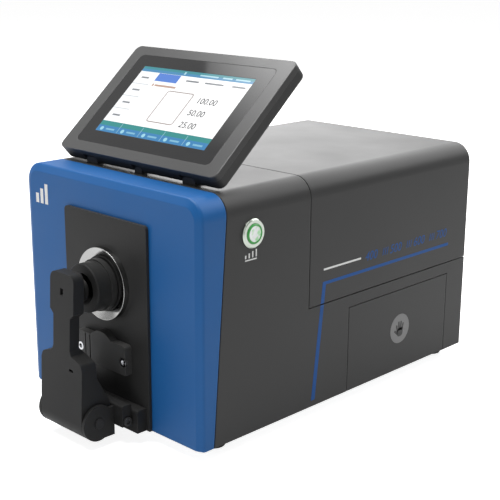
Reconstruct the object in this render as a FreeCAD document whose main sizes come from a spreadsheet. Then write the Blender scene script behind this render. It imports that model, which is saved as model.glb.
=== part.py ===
import FreeCAD, Part
import math
import os

import Sketcher

# Benchtop spectrophotometer. Millimetres, X to the right, Y to the back, Z up from the table.

# Driving dimensions. Heights are above the casing's lower edge, depths are behind the casing's
# front face, and reaches are in front of it, unless the name says otherwise.
SIZES = {
    # casing and covers
    "case_width": 240.0,
    "case_length": 379.4,
    "case_height": 216.8,
    "cover_wall": 2.5,
    "top_edge_radius": 19.0,
    "front_bevel_inset": 7.0,
    "front_bevel_depth": 3.0,
    "front_bevel_round": 2.5,
    "seam_gap": 1.0,
    "fit_gap": 0.1,
    "front_seam_low": 14.6,
    "front_seam_lean": 16.1,
    "hood_front": 132.5,
    "hood_seam_height": 96.9,
    # frame
    "plate_gauge": 2.0,
    "flange_height": 12.0,
    "flange_gauge": 1.5,
    "bulkhead_depth": 129.0,
    "bulkhead_gauge": 2.5,
    "deck_drop": 4.9,
    # feet
    "foot_height": 12.0,
    "foot_radius": 12.0,
    "foot_inset": 26.0,
    "foot_front_depth": 38.0,
    "foot_rear_margin": 16.0,
    "corner_block_height": 12.0,
    "screw_radius": 1.5,
    "screw_head_radius": 2.8,
    "screw_head_height": 2.4,
    "screw_gap": 0.2,
    # front plate and port
    "plate_width": 113.0,
    "plate_height": 185.5,
    "plate_thickness": 3.0,
    "plate_corner": 4.0,
    "port_height": 124.5,
    "ring_radius": 32.8,
    "ring_depth": 5.5,
    "ring_bevel": 0.25,
    "barrel_radius": 22.0,
    "barrel_reach": 27.5,
    "barrel_flange_radius": 24.9,
    "barrel_flange_depth": 3.5,
    "barrel_collar_radius": 23.4,
    "barrel_collar_depth": 7.0,
    "barrel_groove_width": 1.4,
    "barrel_groove_depth": 0.8,
    "barrel_edge_bevel": 0.8,
    "barrel_tail": 9.0,
    "aperture_radius": 12.7,
    # integrating sphere
    "sphere_radius": 55.0,
    "sphere_wall": 5.0,
    "sphere_depth": 66.0,
    "flange_radius": 61.0,
    "sphere_flange_gauge": 3.0,
    "neck_radius": 27.0,
    "exit_neck_radius": 17.0,
    "bracket_gauge": 3.0,
    "bracket_width": 132.0,
    "bracket_foot": 20.0,
    "flange_screw_circle": 58.0,
    # flash lamp
    "lamp_box_width": 60.0,
    "lamp_box_length": 40.0,
    "lamp_box_height": 24.0,
    "lamp_box_wall": 2.5,
    "lamp_neck_radius": 10.0,
    "lamp_port_radius": 7.0,
    "lamp_radius": 4.0,
    "lamp_length": 44.0,
    "capacitor_radius": 17.0,
    "capacitor_length": 58.0,
    # spectrometer
    "spectro_front": 262.0,
    "spectro_length": 102.0,
    "spectro_width": 150.0,
    "spectro_rise": 33.5,
    "spectro_wall": 3.0,
    "lens_barrel_radius": 16.0,
    "lens_barrel_length": 30.0,
    "lens_radius": 12.5,
    "lens_thickness": 6.0,
    "grating_size": 30.0,
    "grating_gauge": 6.0,
    "grating_stand_depth": 14.0,
    "grating_stand_height": 12.0,
    "grating_clear": 6.0,
    "detector_length": 44.0,
    "detector_rise": 7.5,
    "detector_gauge": 2.0,
    "detector_chip_height": 10.0,
    # cell holder
    "cell_holder_width": 50.0,
    "cell_holder_length": 44.0,
    "cell_holder_rim": 2.5,
    "cell_holder_wall": 5.0,
    "cell_window_radius": 11.0,
    # electronics
    "board_gap": 3.9,
    "board_length": 196.0,
    "board_gauge": 1.6,
    "chip_height": 3.0,
    "standoff_height": 8.0,
    "standoff_radius": 3.0,
    # sample rest
    "rest_half_width": 34.0,
    "rest_depth": 7.3,
    "rest_low": 48.0,
    "rest_high": 75.0,
    "rest_lip_half": 14.0,
    "rest_lip_rise": 6.0,
    "rest_screw_reach": 30.0,
    "rest_screw_height": 59.5,
    "rest_counterbore_radius": 4.6,
    "rest_counterbore_depth": 2.6,
    "rest_slit_width": 1.2,
    "rest_slit_depth": 3.0,
    "rest_slit_outer": 22.0,
    "rest_slit_inner": 15.5,
    # sample holder
    "holder_base_half_width": 52.0,
    "holder_base_depth": 10.0,
    "holder_base_height": 21.0,
    "block_half_width": 44.0,
    "block_depth": 10.2,
    "block_low": 6.5,
    "block_high": 26.0,
    "side_screw_radius": 4.0,
    "side_screw_height": 2.2,
    "side_screw_level": 11.0,
    "side_screw_length": 8.0,
    "pivot_reach": 40.0,
    "pivot_height": 12.4,
    "cheek_radius": 16.2,
    "cheek_inner": 29.8,
    "cheek_gauge": 3.2,
    "cheek_heel": 7.5,
    "hinge_pin_radius": 3.0,
    "running_gap": 0.05,
    "boss_radius": 16.1,
    "arm_half_width": 29.3,
    "arm_lean": 7.1,
    "arm_shoulder_low": 62.0,
    "arm_shoulder_high": 72.0,
    "arm_shoulder_slope": 4.5,
    "neck_half_width": 11.8,
    "neck_low": 77.0,
    "neck_high": 105.0,
    "lobe_half_width": 16.6,
    "lobe_low": 109.0,
    "arm_top": 143.0,
    "lobe_thickness": 11.0,
    "neck_thickness": 10.0,
    "body_back_reach": 38.0,
    "heel_height": 53.0,
    "arm_corner": 4.0,
    "lobe_corner": 7.0,
    "spring_bay_half": 8.0,
    "spring_bay_radius": 8.0,
    "spring_coil_radius": 5.0,
    "spring_wire": 0.8,
    "spring_turns": 6.0,
    "pad_radius": 10.5,
    "pad_thickness": 4.5,
    "pad_gap": 0.3,
    "stem_radius": 4.0,
    # display
    "display_width": 211.8,
    "display_slope": 132.5,
    "display_thickness": 16.5,
    "display_bezel": 6.0,
    "display_corner": 6.8,
    "display_back_round": 3.0,
    "display_wall": 2.5,
    "display_tilt": 41.2,
    "display_low_depth": 29.2,
    "display_rise": 12.5,
    "glass_width": 181.2,
    "glass_low": 10.8,
    "glass_high": 121.1,
    "glass_corner": 6.0,
    "glass_gauge": 1.2,
    "screen_width": 150.0,
    "screen_low": 23.5,
    "screen_high": 109.0,
    "panel_gauge": 4.0,
    "tilt_axis_up": 6.0,
    "tilt_axis_in": 10.5,
    "tilt_knuckle_radius": 4.2,
    "tilt_knuckle_half": 8.0,
    "tilt_reach": 66.0,
    "tilt_pin_radius": 1.5,
    "tilt_pin_overrun": 9.0,
    "tilt_side_gap": 0.4,
    "tilt_web_half": 3.2,
    "tilt_foot_length": 12.0,
    "tilt_foot_gauge": 1.4,
    "cable_cover_half": 5.0,
    "display_solid_band": 14.0,
    # hood hinges
    "hood_axis_reach": 4.0,
    "hood_barrel_radius": 3.4,
    "hood_pin_radius": 1.5,
    "hood_hinge_reach": 70.0,
    "hood_leaf_half": 20.0,
    "hood_middle_half": 6.6,
    "hood_knuckle_gap": 0.4,
    "hood_leaf_gauge": 1.5,
    "hood_leaf_height": 20.0,
    "hood_leaf_clear": 5.0,
    # drawer
    "drawer_rear_margin": 30.4,
    "drawer_length": 159.7,
    "drawer_height": 85.0,
    "drawer_gap": 0.8,
    "tray_depth": 122.0,
    "tray_wall": 2.0,
    "tray_margin": 5.0,
    "tray_height": 58.0,
    "runner_height": 4.0,
    "runner_width": 8.0,
    "runner_gap": 0.3,
    "latch_width": 12.0,
    "latch_gap": 0.5,
    "tile_radius": 26.0,
    "tile_height": 12.0,
    "trap_radius": 24.0,
    "trap_height": 44.0,
    # test button
    "button_depth": 59.5,
    "button_drop": 36.3,
    "bezel_radius": 12.8,
    "bezel_height": 2.2,
    "bezel_bore": 8.9,
    "thread_radius": 10.9,
    "thread_length": 20.0,
    "button_ring_radius": 8.7,
    "button_ring_bore": 7.0,
    "button_ring_height": 3.6,
    "button_cap_radius": 6.9,
    "button_cap_height": 3.0,
    "button_travel": 2.0,
    "plunger_radius": 4.5,
    "collar_radius": 14.0,
    "switch_length": 14.0,
    # rear panel fittings
    "socket_height": 40.0,
    "inlet_reach": 62.0,
    "inlet_radius": 6.0,
    "inlet_bore": 3.1,
    "usb_reach": 40.0,
    "usb_width": 12.0,
    "usb_height": 11.0,
    "serial_reach": 5.0,
    "serial_width": 31.0,
    "serial_height": 12.5,
    "power_reach": 86.0,
    "power_height": 56.0,
    "power_frame_width": 15.0,
    "power_frame_height": 21.0,
    "rocker_width": 9.6,
    "rocker_height": 15.4,
    "rocker_tilt": 7.0,
}

doc = FreeCAD.newDocument("Spectrophotometer")
sheet = doc.addObject("Spreadsheet::Sheet", "Sizes")
V = FreeCAD.Vector


class Size:
    """A size worked out from the sheet: its number, and the same sum as an expression."""

    def __init__(self, number, text):
        self.number = number
        self.text = text

    def __float__(self):
        return self.number

    def __add__(self, other):
        other = as_size(other)
        return Size(self.number + other.number, f"({self.text} + {other.text})")

    def __sub__(self, other):
        other = as_size(other)
        return Size(self.number - other.number, f"({self.text} - {other.text})")

    def __mul__(self, other):
        other = as_size(other)
        return Size(self.number * other.number, f"({self.text} * {other.text})")

    def __truediv__(self, other):
        other = as_size(other)
        return Size(self.number / other.number, f"({self.text} / {other.text})")

    def __radd__(self, other):
        return as_size(other) + self

    def __rsub__(self, other):
        return as_size(other) - self

    def __rmul__(self, other):
        return as_size(other) * self

    def __neg__(self):
        return as_size(0.0) - self


def as_size(value):
    if isinstance(value, Size):
        return value
    return Size(float(value), f"({float(value):.6f})")


def sine(angle):
    return Size(math.sin(math.radians(float(angle))), f"sin({angle.text} * 1 deg)")


def cosine(angle):
    return Size(math.cos(math.radians(float(angle))), f"cos({angle.text} * 1 deg)")


class Cells:
    """Each driving dimension of the sheet, by its alias."""


def fill_sheet():
    cells = Cells()
    for row, (alias, number) in enumerate(SIZES.items(), start=1):
        sheet.set(f"A{row}", alias.replace("_", " "))
        sheet.set(f"B{row}", str(number))
        sheet.setAlias(f"B{row}", alias)
        setattr(cells, alias, Size(number, f"Sizes.{alias}"))
    doc.recompute()
    return cells


s = fill_sheet()

# Places that many pieces share.
half = s.case_width / 2
floor = s.foot_height
rear_reach = s.hood_axis_reach + s.hood_barrel_radius
front_reach = s.pivot_reach + s.cheek_radius
face = (front_reach - s.case_length - rear_reach) / 2
rear = face + s.case_length
roof = floor + s.case_height
inner_half = half - s.cover_wall - s.fit_gap
seam_level = floor + s.hood_seam_height
deck_top = seam_level - s.deck_drop
base_top = floor + s.plate_gauge
hood_seam = face + s.hood_front
port_level = floor + s.port_height
plate_face = face - s.plate_thickness
bulkhead_back = face + s.bulkhead_depth + s.bulkhead_gauge
pivot_y = face - s.pivot_reach
pivot_z = floor + s.pivot_height
hood_axis_y = rear + s.hood_axis_reach
drawer_end = rear - s.drawer_rear_margin
drawer_start = drawer_end - s.drawer_length
button_level = roof - s.button_drop
margin = 5.0

PLANES = {"x": "YZ_Plane", "y": "XZ_Plane", "z": "XY_Plane"}
TURNS = {
    "x": FreeCAD.Rotation(V(0, 1, 0), 90),
    "y": FreeCAD.Rotation(V(1, 0, 0), -90),
    "z": FreeCAD.Rotation(),
}
parts = {}


def bind(thing, path, value):
    """Ties a property to the sheet."""
    thing.setExpression(path, as_size(value).text)


def put(thing, at, turn=None):
    """Places a solid at a point of the part's frame, turned where it needs to be."""
    thing.Placement = FreeCAD.Placement(V(*[float(c) for c in at]), turn or FreeCAD.Rotation())
    for letter, value in zip("xyz", at):
        bind(thing, f"Placement.Base.{letter}", value)
    return thing


def box(name, low, high):
    """A block from its low corner to its high corner."""
    block = doc.addObject("Part::Box", name)
    for prop, a, b in zip(("Length", "Width", "Height"), low, high):
        bind(block, prop, as_size(b) - a)
    return put(block, low)


def rod(name, along, radius, start, length):
    """A round bar that runs along an axis from its start point."""
    bar = doc.addObject("Part::Cylinder", name)
    bind(bar, "Radius", radius)
    bind(bar, "Height", length)
    return put(bar, start, TURNS[along])


def ball(name, radius, centre, low=-90.0, high=90.0):
    """A ball with its poles along Y, or the part of it between two latitudes."""
    round_one = doc.addObject("Part::Sphere", name)
    bind(round_one, "Radius", radius)
    round_one.Angle1 = low
    round_one.Angle2 = high
    return put(round_one, centre, TURNS["y"])


def fuse(name, *pieces):
    joined = doc.addObject("Part::MultiFuse", name)
    joined.Shapes = list(pieces)
    joined.Refine = True
    return joined


def cut(name, piece, *tools):
    """Takes one or more tools away from a piece."""
    tool = tools[0]
    if len(tools) > 1:
        tool = doc.addObject("Part::MultiFuse", name + "_tools")
        tool.Shapes = list(tools)
    left = doc.addObject("Part::Cut", name)
    left.Base = piece
    left.Tool = tool
    left.Refine = True
    return left


def common(name, piece, other):
    shared = doc.addObject("Part::Common", name)
    shared.Base = piece
    shared.Tool = other
    shared.Refine = True
    return shared


def group(name, pieces):
    """Separate solids of one kind that share a node."""
    several = doc.addObject("Part::Compound", name)
    several.Links = list(pieces)
    return several


def draw(sketch, shape):
    """Draws a closed outline from its corners, or a circle from (centre, centre, radius)."""
    first = len(sketch.Geometry)
    rules = []
    if isinstance(shape, tuple):
        u, v, radius = (as_size(c) for c in shape)
        sketch.addGeometry(Part.Circle(V(float(u), float(v), 0), V(0, 0, 1), float(radius)))
        rules.append((Sketcher.Constraint("DistanceX", -1, 1, first, 3, float(u)), u))
        rules.append((Sketcher.Constraint("DistanceY", -1, 1, first, 3, float(v)), v))
        rules.append((Sketcher.Constraint("Radius", first, float(radius)), radius))
    else:
        corners = [(as_size(u), as_size(v)) for u, v in shape]
        flat = [V(float(u), float(v), 0) for u, v in corners]
        count = len(flat)
        sketch.addGeometry([Part.LineSegment(flat[k], flat[(k + 1) % count]) for k in range(count)])
        for k in range(count):
            meet = Sketcher.Constraint("Coincident", first + k, 2, first + (k + 1) % count, 1)
            rules.append((meet, None))
        for k, (u, v) in enumerate(corners):
            rules.append((Sketcher.Constraint("DistanceX", -1, 1, first + k, 1, float(u)), u))
            rules.append((Sketcher.Constraint("DistanceY", -1, 1, first + k, 1, float(v)), v))
    start = sketch.ConstraintCount
    sketch.addConstraint([rule for rule, size in rules])
    for k, (rule, size) in enumerate(rules):
        if size is not None:
            sketch.setExpression(f"Constraints[{start + k}]", size.text)


def sketch_on(body, name, along, start, shapes):
    """A sketch square to an axis of its body, at a distance along that axis."""
    sketch = body.newObject("Sketcher::SketchObject", name)
    role = PLANES[along]
    plane = next(item for item in body.Origin.OriginFeatures if item.Role == role)
    sketch.AttachmentSupport = [(plane, "")]
    sketch.MapMode = "FlatFace"
    bind(sketch, "AttachmentOffset.Base.z", -as_size(start) if along == "y" else start)
    for shape in shapes:
        draw(sketch, shape)
    return sketch


def new_body(name):
    return doc.addObject("PartDesign::Body", name)


def pad(body, name, along, start, end, *shapes):
    """Adds a slab with the drawn outline, from start to end along an axis."""
    feature_sketch = sketch_on(body, name + "_sketch", along, start, shapes)
    feature = body.newObject("PartDesign::Pad", name)
    feature.Profile = feature_sketch
    feature.Reversed = along == "y"
    bind(feature, "Length", as_size(end) - start)
    body.Tip = feature
    return feature


def pocket(body, name, along, start, end, *shapes):
    """Takes a slab with the drawn outline away, from start to end along an axis."""
    doc.recompute()
    before = body.Shape.Volume
    feature_sketch = sketch_on(body, name + "_sketch", along, start, shapes)
    feature = body.newObject("PartDesign::Pocket", name)
    feature.Profile = feature_sketch
    feature.Reversed = along != "y"
    bind(feature, "Length", as_size(end) - start)
    body.Tip = feature
    doc.recompute()
    if not body.Shape.Volume < before:
        raise ValueError(f"{name} takes nothing away")
    return feature


def smooth(body, name, radius, chosen, kind="Fillet"):
    """Rounds, or bevels, the edges of the body that the chooser picks."""
    doc.recompute()
    last = body.Tip
    names = [f"Edge{k + 1}" for k, edge in enumerate(last.Shape.Edges) if chosen(edge)]
    if not names:
        raise ValueError(f"{name} finds no edge")
    feature = body.newObject("PartDesign::" + kind, name)
    feature.Base = (last, names)
    bind(feature, "Radius" if kind == "Fillet" else "Size", radius)
    body.Tip = feature
    return feature


def along_axis(axis, spots):
    """Chooses straight edges that run along an axis through the given spots of the other two."""
    main = "xyz".index(axis)
    others = [k for k in range(3) if k != main]

    def chosen(edge):
        if edge.Curve.TypeId != "Part::GeomLine":
            return False
        if abs(abs(edge.tangentAt(edge.FirstParameter)[main]) - 1) > 1e-6:
            return False
        middle = edge.CenterOfMass
        return any(
            all(abs(middle[k] - float(c)) < 0.01 for k, c in zip(others, spot)) for spot in spots
        )

    return chosen


def on_plane(axis, level, low=None):
    """Chooses the edges that lie in a plane, above a height where one is given."""
    main = "xyz".index(axis)

    def chosen(edge):
        ends = [edge.valueAt(edge.FirstParameter), edge.valueAt(edge.LastParameter)]
        ends.append(edge.CenterOfMass)
        flat = all(abs(end[main] - float(level)) < 0.01 for end in ends)
        return flat and (low is None or edge.CenterOfMass.z > float(low))

    return chosen


def turned(name, along, profile, at, turn=None):
    """A turned piece, from its half section as (distance along the axis, radius) corners."""
    body = new_body(name)
    plane = "y"
    axis_name = "H_Axis"
    corners = profile
    if along == "y":
        plane = "x"
    if along == "z":
        axis_name = "V_Axis"
        corners = [(radius, distance) for distance, radius in profile]
    outline = sketch_on(body, name + "_sketch", plane, 0.0, [corners])
    feature = body.newObject("PartDesign::Revolution", name + "_turn")
    feature.Profile = outline
    feature.ReferenceAxis = (outline, [axis_name])
    feature.Angle = 360.0
    body.Tip = feature
    return put(body, at, turn)


def rectangle(u0, v0, u1, v1):
    return [(u0, v0), (u1, v0), (u1, v1), (u0, v1)]


def socket_screw(name, along, at, facing, head_radius, head_height, shank_length):
    """A socket screw whose head stands on a surface point; facing is the head's direction."""
    head = head_height * facing
    shank = -shank_length * facing
    profile = [
        (shank, 0.0),
        (shank, s.screw_radius),
        (0.0, s.screw_radius),
        (0.0, head_radius),
        (head, head_radius),
        (head, head_radius * 0.55),
        (head * 0.45, head_radius * 0.55),
        (head * 0.45, 0.0),
    ]
    return turned(name, along, profile, at)


def keep(name, piece):
    """Names a finished sub-part."""
    piece.Label = name
    parts[name] = piece
    return piece


def casing_form(name, inset, back, low):
    """The casing's rounded block, inset all round, to a given back and lowest level."""
    body = new_body(name)
    side = half - inset
    top = roof - inset
    front = face + inset
    pad(body, name + "_block", "y", front, back, rectangle(-side, low, side, top))
    smooth(body, name + "_long", s.top_edge_radius - inset, along_axis("y", [(-side, top), (side, top)]))
    bevel = smooth(body, name + "_bevel", s.front_bevel_depth, on_plane("y", front, low + 1), "Chamfer")
    bevel.ChamferType = "Two distances"
    bind(bevel, "Size2", s.front_bevel_inset)
    crease = on_plane("y", front + s.front_bevel_depth, low + 1)
    smooth(body, name + "_bevel_round", s.front_bevel_round, crease)
    return body


def front_seam(level, offset):
    """The leaning seam's depth at a level, moved by an offset."""
    rise = (level - floor) / s.case_height
    return face + s.front_seam_low + s.front_seam_lean * rise + offset


def casing_shell():
    outer = casing_form("casing_outside", as_size(0.0), rear, floor)
    inner = casing_form("casing_inside", s.cover_wall, rear - s.cover_wall, floor - margin)
    return cut("casing_shell", outer, inner)


def region(name, outline):
    """A slab across the whole width with the given side outline."""
    body = new_body(name)
    pad(body, name + "_slab", "x", -half - margin, half + margin, outline)
    return body


def front_cover(shell):
    gap = -s.seam_gap / 2
    low = floor - margin
    high = roof + margin
    outline = [
        (face - margin, low),
        (front_seam(low, gap), low),
        (front_seam(high, gap), high),
        (face - margin, high),
    ]
    shape = common("front_cover_shell", shell, region("front_region", outline))
    opening = rod(
        "front_opening", "y", s.neck_radius + 1, (0.0, face - margin, port_level), s.cover_wall + 2 * margin
    )
    keep("front_cover", cut("front_cover", shape, opening))


def main_cover(shell):
    gap = s.seam_gap / 2
    low = floor - margin
    high = roof + margin
    seam = seam_level - gap
    outline = [
        (front_seam(low, gap), low),
        (rear + margin, low),
        (rear + margin, seam),
        (hood_seam - gap, seam),
        (hood_seam - gap, high),
        (front_seam(high, gap), high),
    ]
    shape = common("main_cover_shell", shell, region("main_region", outline))
    drawer_hole = box(
        "drawer_hole",
        (half - margin, drawer_start, low),
        (half + margin, drawer_end, floor + s.drawer_height),
    )
    button_hole = rod(
        "button_hole",
        "x",
        s.thread_radius + s.fit_gap,
        (half - margin, face + s.button_depth, button_level),
        2 * margin,
    )
    back_hole = box(
        "back_hole",
        (-half + s.cover_wall, rear - s.cover_wall - margin, low),
        (half - s.cover_wall, rear + margin, high),
    )
    keep("main_cover", cut("main_cover", shape, drawer_hole, button_hole, back_hole))


def hood(shell):
    gap = s.seam_gap / 2
    low = seam_level + gap
    outline = rectangle(hood_seam + gap, low, rear + margin, roof + margin)
    keep("hood", common("hood", shell, region("hood_region", outline)))


def base_plate():
    side = inner_half
    back = rear - s.cover_wall
    front = face + s.cover_wall + s.fit_gap
    flange_top = floor + s.flange_height
    sheet_metal = box("base_sheet", (-side, front, floor), (side, back, base_top))
    left = box("base_flange_left", (-side, front, floor), (s.flange_gauge - side, back, flange_top))
    right = box("base_flange_right", (side - s.flange_gauge, front, floor), (side, back, flange_top))
    tub = fuse("base_tub", sheet_metal, left, right)
    notch = box(
        "base_notch",
        (side - s.flange_gauge, drawer_start, base_top),
        (half, drawer_end, flange_top + margin),
    )
    ledge = box(
        "base_ledge",
        (side, drawer_start, floor - margin),
        (half, drawer_end, flange_top),
    )
    inside = casing_form("base_bound", s.cover_wall + s.fit_gap, back, floor - margin)
    shape = common("base_rounded", tub, inside)
    holes = [
        rod(f"base_hole_{k}", "z", s.screw_radius + s.screw_gap, (x, y, floor - 1), s.plate_gauge + 2)
        for k, (x, y) in enumerate(foot_places())
    ]
    pressed = cut("base_pressed", shape, notch, ledge, *holes)
    keep("base_plate", fuse("base_plate", pressed, *standoffs()))


def foot_places():
    side = half - s.foot_inset
    front = face + s.foot_front_depth
    back = rear - s.foot_rear_margin
    return [(-side, front), (side, front), (-side, back), (side, back)]


def feet():
    rubber = []
    screws = []
    blocks = []
    recess = s.screw_head_height + 1
    for k, (x, y) in enumerate(foot_places()):
        bore = s.screw_radius + s.screw_gap
        profile = [
            (0.0, s.screw_head_radius + 1),
            (0.0, s.foot_radius - 1.5),
            (s.foot_height * 0.25, s.foot_radius),
            (s.foot_height, s.foot_radius),
            (s.foot_height, bore),
            (recess, bore),
            (recess, s.screw_head_radius + 1),
        ]
        rubber.append(turned(f"foot_{k}", "z", profile, (x, y, 0.0)))
        reach = s.foot_height - recess + s.plate_gauge + s.corner_block_height - 2
        at = (x, y, recess)
        screws.append(
            socket_screw(f"foot_screw_{k}", "z", at, -1, s.screw_head_radius, s.screw_head_height, reach)
        )
        low = (x - s.foot_radius, y - s.foot_radius + 1, base_top)
        high = (x + s.foot_radius, y + s.foot_radius - 1, base_top + s.corner_block_height)
        blank = box(f"corner_blank_{k}", low, high)
        bore_rod = rod(f"corner_bore_{k}", "z", s.screw_radius, (x, y, base_top), s.corner_block_height)
        blocks.append(cut(f"corner_block_{k}", blank, bore_rod))
    keep("feet", group("feet", rubber))
    keep("foot_screws", group("foot_screws", screws))
    keep("corner_blocks", group("corner_blocks", blocks))


def bulkhead():
    front = face + s.bulkhead_depth
    slab = box("bulkhead_slab", (-half, front, base_top), (half, bulkhead_back, roof))
    inside = casing_form("bulkhead_bound", s.cover_wall + s.fit_gap, rear, floor - margin)
    shape = common("bulkhead_rounded", slab, inside)
    through = s.bulkhead_gauge + 2
    window = rod("bulkhead_window", "y", s.aperture_radius, (0.0, front - 1, port_level), through)
    relief_low = base_top - 1
    relief_high = floor + s.flange_height
    sides = [(-half, s.flange_gauge - inner_half), (inner_half - s.flange_gauge, half)]
    clear_flange = [
        box(f"bulkhead_relief_{k}", (x0, front - 1, relief_low), (x1, bulkhead_back + 1, relief_high))
        for k, (x0, x1) in enumerate(sides)
    ]
    keep("bulkhead", cut("bulkhead", shape, window, *clear_flange))


def deck():
    """The floor of the transmission compartment, with its edges turned down."""
    side = inner_half
    back = rear - s.cover_wall
    under = deck_top - s.plate_gauge
    lip = deck_top - s.flange_height / 2
    plate = box("deck_plate", (-side, bulkhead_back, under), (side, back, deck_top))
    left = box("deck_left", (-side, bulkhead_back, lip), (s.flange_gauge - side, back, deck_top))
    right = box("deck_right", (side - s.flange_gauge, bulkhead_back, lip), (side, back, deck_top))
    keep("compartment_deck", fuse("compartment_deck", plate, left, right))


def rear_panel():
    front = rear - s.cover_wall
    body = new_body("rear_panel")
    low = floor
    high = seam_level - s.seam_gap / 2
    pad(body, "rear_panel_plate", "y", front, rear, rectangle(-inner_half, low, inner_half, high))
    level = floor + s.socket_height
    usb_x = s.usb_reach - s.usb_width / 2
    serial_x = s.serial_reach - s.serial_width / 2
    switch_level = floor + s.power_height
    holes = [
        (-s.inlet_reach, level, s.inlet_radius + s.fit_gap),
        rectangle(
            -usb_x - s.usb_width - s.fit_gap,
            level - s.usb_height / 2 - s.fit_gap,
            s.fit_gap - usb_x,
            level + s.usb_height / 2 + s.fit_gap,
        ),
        rectangle(
            serial_x - s.fit_gap,
            level - s.serial_height / 2 - s.fit_gap,
            serial_x + s.serial_width + s.fit_gap,
            level + s.serial_height / 2 + s.fit_gap,
        ),
        rectangle(
            -s.power_reach - s.power_frame_width / 2 + 1 - s.fit_gap,
            switch_level - s.power_frame_height / 2 + 1 - s.fit_gap,
            -s.power_reach + s.power_frame_width / 2 - 1 + s.fit_gap,
            switch_level + s.power_frame_height / 2 - 1 + s.fit_gap,
        ),
    ]
    pocket(body, "rear_panel_holes", "y", front - 1, rear + 1, *holes)
    keep("rear_panel", body)


def front_plate():
    body = new_body("front_plate")
    side = s.plate_width / 2
    top = floor + s.plate_height
    pad(body, "front_plate_slab", "y", plate_face, face, rectangle(-side, floor, side, top))
    smooth(body, "front_plate_corners", s.plate_corner, along_axis("y", [(-side, top), (side, top)]))
    pocket(
        body,
        "front_plate_port",
        "y",
        plate_face - 1,
        face + 1,
        (0.0, port_level, s.barrel_radius + s.fit_gap),
    )
    keep("front_plate", body)


def port():
    centre = (0.0, plate_face, port_level)
    bore = s.barrel_flange_radius + s.fit_gap
    ring = [
        (0.0, bore),
        (0.0, s.ring_radius),
        (s.ring_bevel - s.ring_depth, s.ring_radius),
        (-s.ring_depth, s.ring_radius - s.ring_bevel),
        (-s.ring_depth, s.ring_radius - s.ring_bevel * 2),
        (-s.ring_depth / 2, bore),
    ]
    keep("port_ring", turned("port_ring", "y", ring, centre))
    end = s.plate_thickness - s.barrel_reach
    flange = -s.barrel_flange_depth
    groove = flange - s.barrel_groove_width
    groove_floor = s.barrel_radius - s.barrel_groove_depth
    collar = flange - s.barrel_collar_depth
    bevel = s.barrel_edge_bevel
    tail = s.plate_thickness + s.barrel_tail
    barrel = [
        (tail, s.aperture_radius),
        (tail, s.barrel_radius),
        (0.0, s.barrel_radius),
        (0.0, s.barrel_flange_radius),
        (flange, s.barrel_flange_radius),
        (flange, groove_floor),
        (groove, groove_floor),
        (groove, s.barrel_collar_radius),
        (collar, s.barrel_collar_radius),
        (collar, s.barrel_radius),
        (end + bevel, s.barrel_radius),
        (end, s.barrel_radius - bevel),
        (end, s.aperture_radius + 1.5),
        (end + 1.5, s.aperture_radius),
    ]
    keep("aperture_barrel", turned("aperture_barrel", "y", barrel, centre))


def sphere():
    """Two flanged halves that meet in an upright plane, with the sample and exit necks."""
    middle = face + s.sphere_depth
    centre = (0.0, middle, port_level)
    outer = s.sphere_radius
    gauge = s.sphere_flange_gauge
    exit_end = face + s.bulkhead_depth
    ring_bolts = [
        (
            s.flange_screw_circle * math.cos(math.radians(angle)),
            port_level + s.flange_screw_circle * math.sin(math.radians(angle)),
        )
        for angle in range(30, 390, 60)
    ]

    def hollow(name):
        return ball(name, outer - s.sphere_wall, centre)

    def bolt_holes(name, start):
        return [
            rod(f"{name}_{k}", "y", s.screw_radius + s.screw_gap, (x, start - 1, z), gauge + 2)
            for k, (x, z) in enumerate(ring_bolts)
        ]

    front_ball = ball("sphere_front_ball", outer, centre, -90.0, 0.0)
    front_flange = rod("sphere_front_flange", "y", s.flange_radius, (0.0, middle - gauge, port_level), gauge)
    into_ball = s.sphere_depth - outer + 12
    front_neck = rod("sphere_front_neck", "y", s.neck_radius, (0.0, face, port_level), into_ball)
    front = fuse("sphere_front_blank", front_ball, front_flange, front_neck)
    seat_length = s.barrel_tail + 1 + s.fit_gap
    seat_radius = s.barrel_radius + s.fit_gap
    seat = rod("sphere_front_seat", "y", seat_radius, (0.0, face - 1, port_level), seat_length)
    bore = rod("sphere_front_bore", "y", s.aperture_radius, (0.0, face, port_level), s.sphere_depth)
    front_bolts = bolt_holes("sphere_front_bolt", middle - gauge)
    front_half = cut("sphere_front", front, hollow("sphere_front_hollow"), seat, bore, *front_bolts)
    keep("sphere_front", front_half)
    back_ball = ball("sphere_back_ball", outer, centre, 0.0, 90.0)
    back_flange = rod("sphere_back_flange", "y", s.flange_radius, (0.0, middle, port_level), gauge)
    neck_start = middle + outer - 4
    neck_length = exit_end - neck_start
    back_neck = rod("sphere_back_neck", "y", s.exit_neck_radius, (0.0, neck_start, port_level), neck_length)
    back = fuse("sphere_back_blank", back_ball, back_flange, back_neck)
    exit_bore = rod("sphere_back_bore", "y", s.aperture_radius, (0.0, middle, port_level), exit_end - middle)
    lamp_bore = rod(
        "sphere_lamp_bore", "z", s.lamp_port_radius, (0.0, lamp_centre(), port_level), outer + margin
    )
    back_bolts = bolt_holes("sphere_back_bolt", middle)
    back_half = cut("sphere_back", back, hollow("sphere_back_hollow"), exit_bore, lamp_bore, *back_bolts)
    keep("sphere_back", back_half)
    screws = [
        socket_screw(
            f"sphere_screw_{k}",
            "y",
            (x, middle - gauge, z),
            -1,
            s.screw_head_radius,
            s.screw_head_height,
            gauge * 2 + s.bracket_gauge,
        )
        for k, (x, z) in enumerate(ring_bolts)
    ]
    keep("sphere_screws", group("sphere_screws", screws))
    bracket(ring_bolts)


def lamp_centre():
    """The flash lamp's depth: the middle of its box, which stands behind the bracket."""
    return bracket_back() + s.lamp_box_length / 2


def bracket_back():
    return face + s.sphere_depth + s.sphere_flange_gauge + s.bracket_gauge


def lamp_box_low():
    return roof - s.cover_wall - margin - s.lamp_box_height


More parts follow.
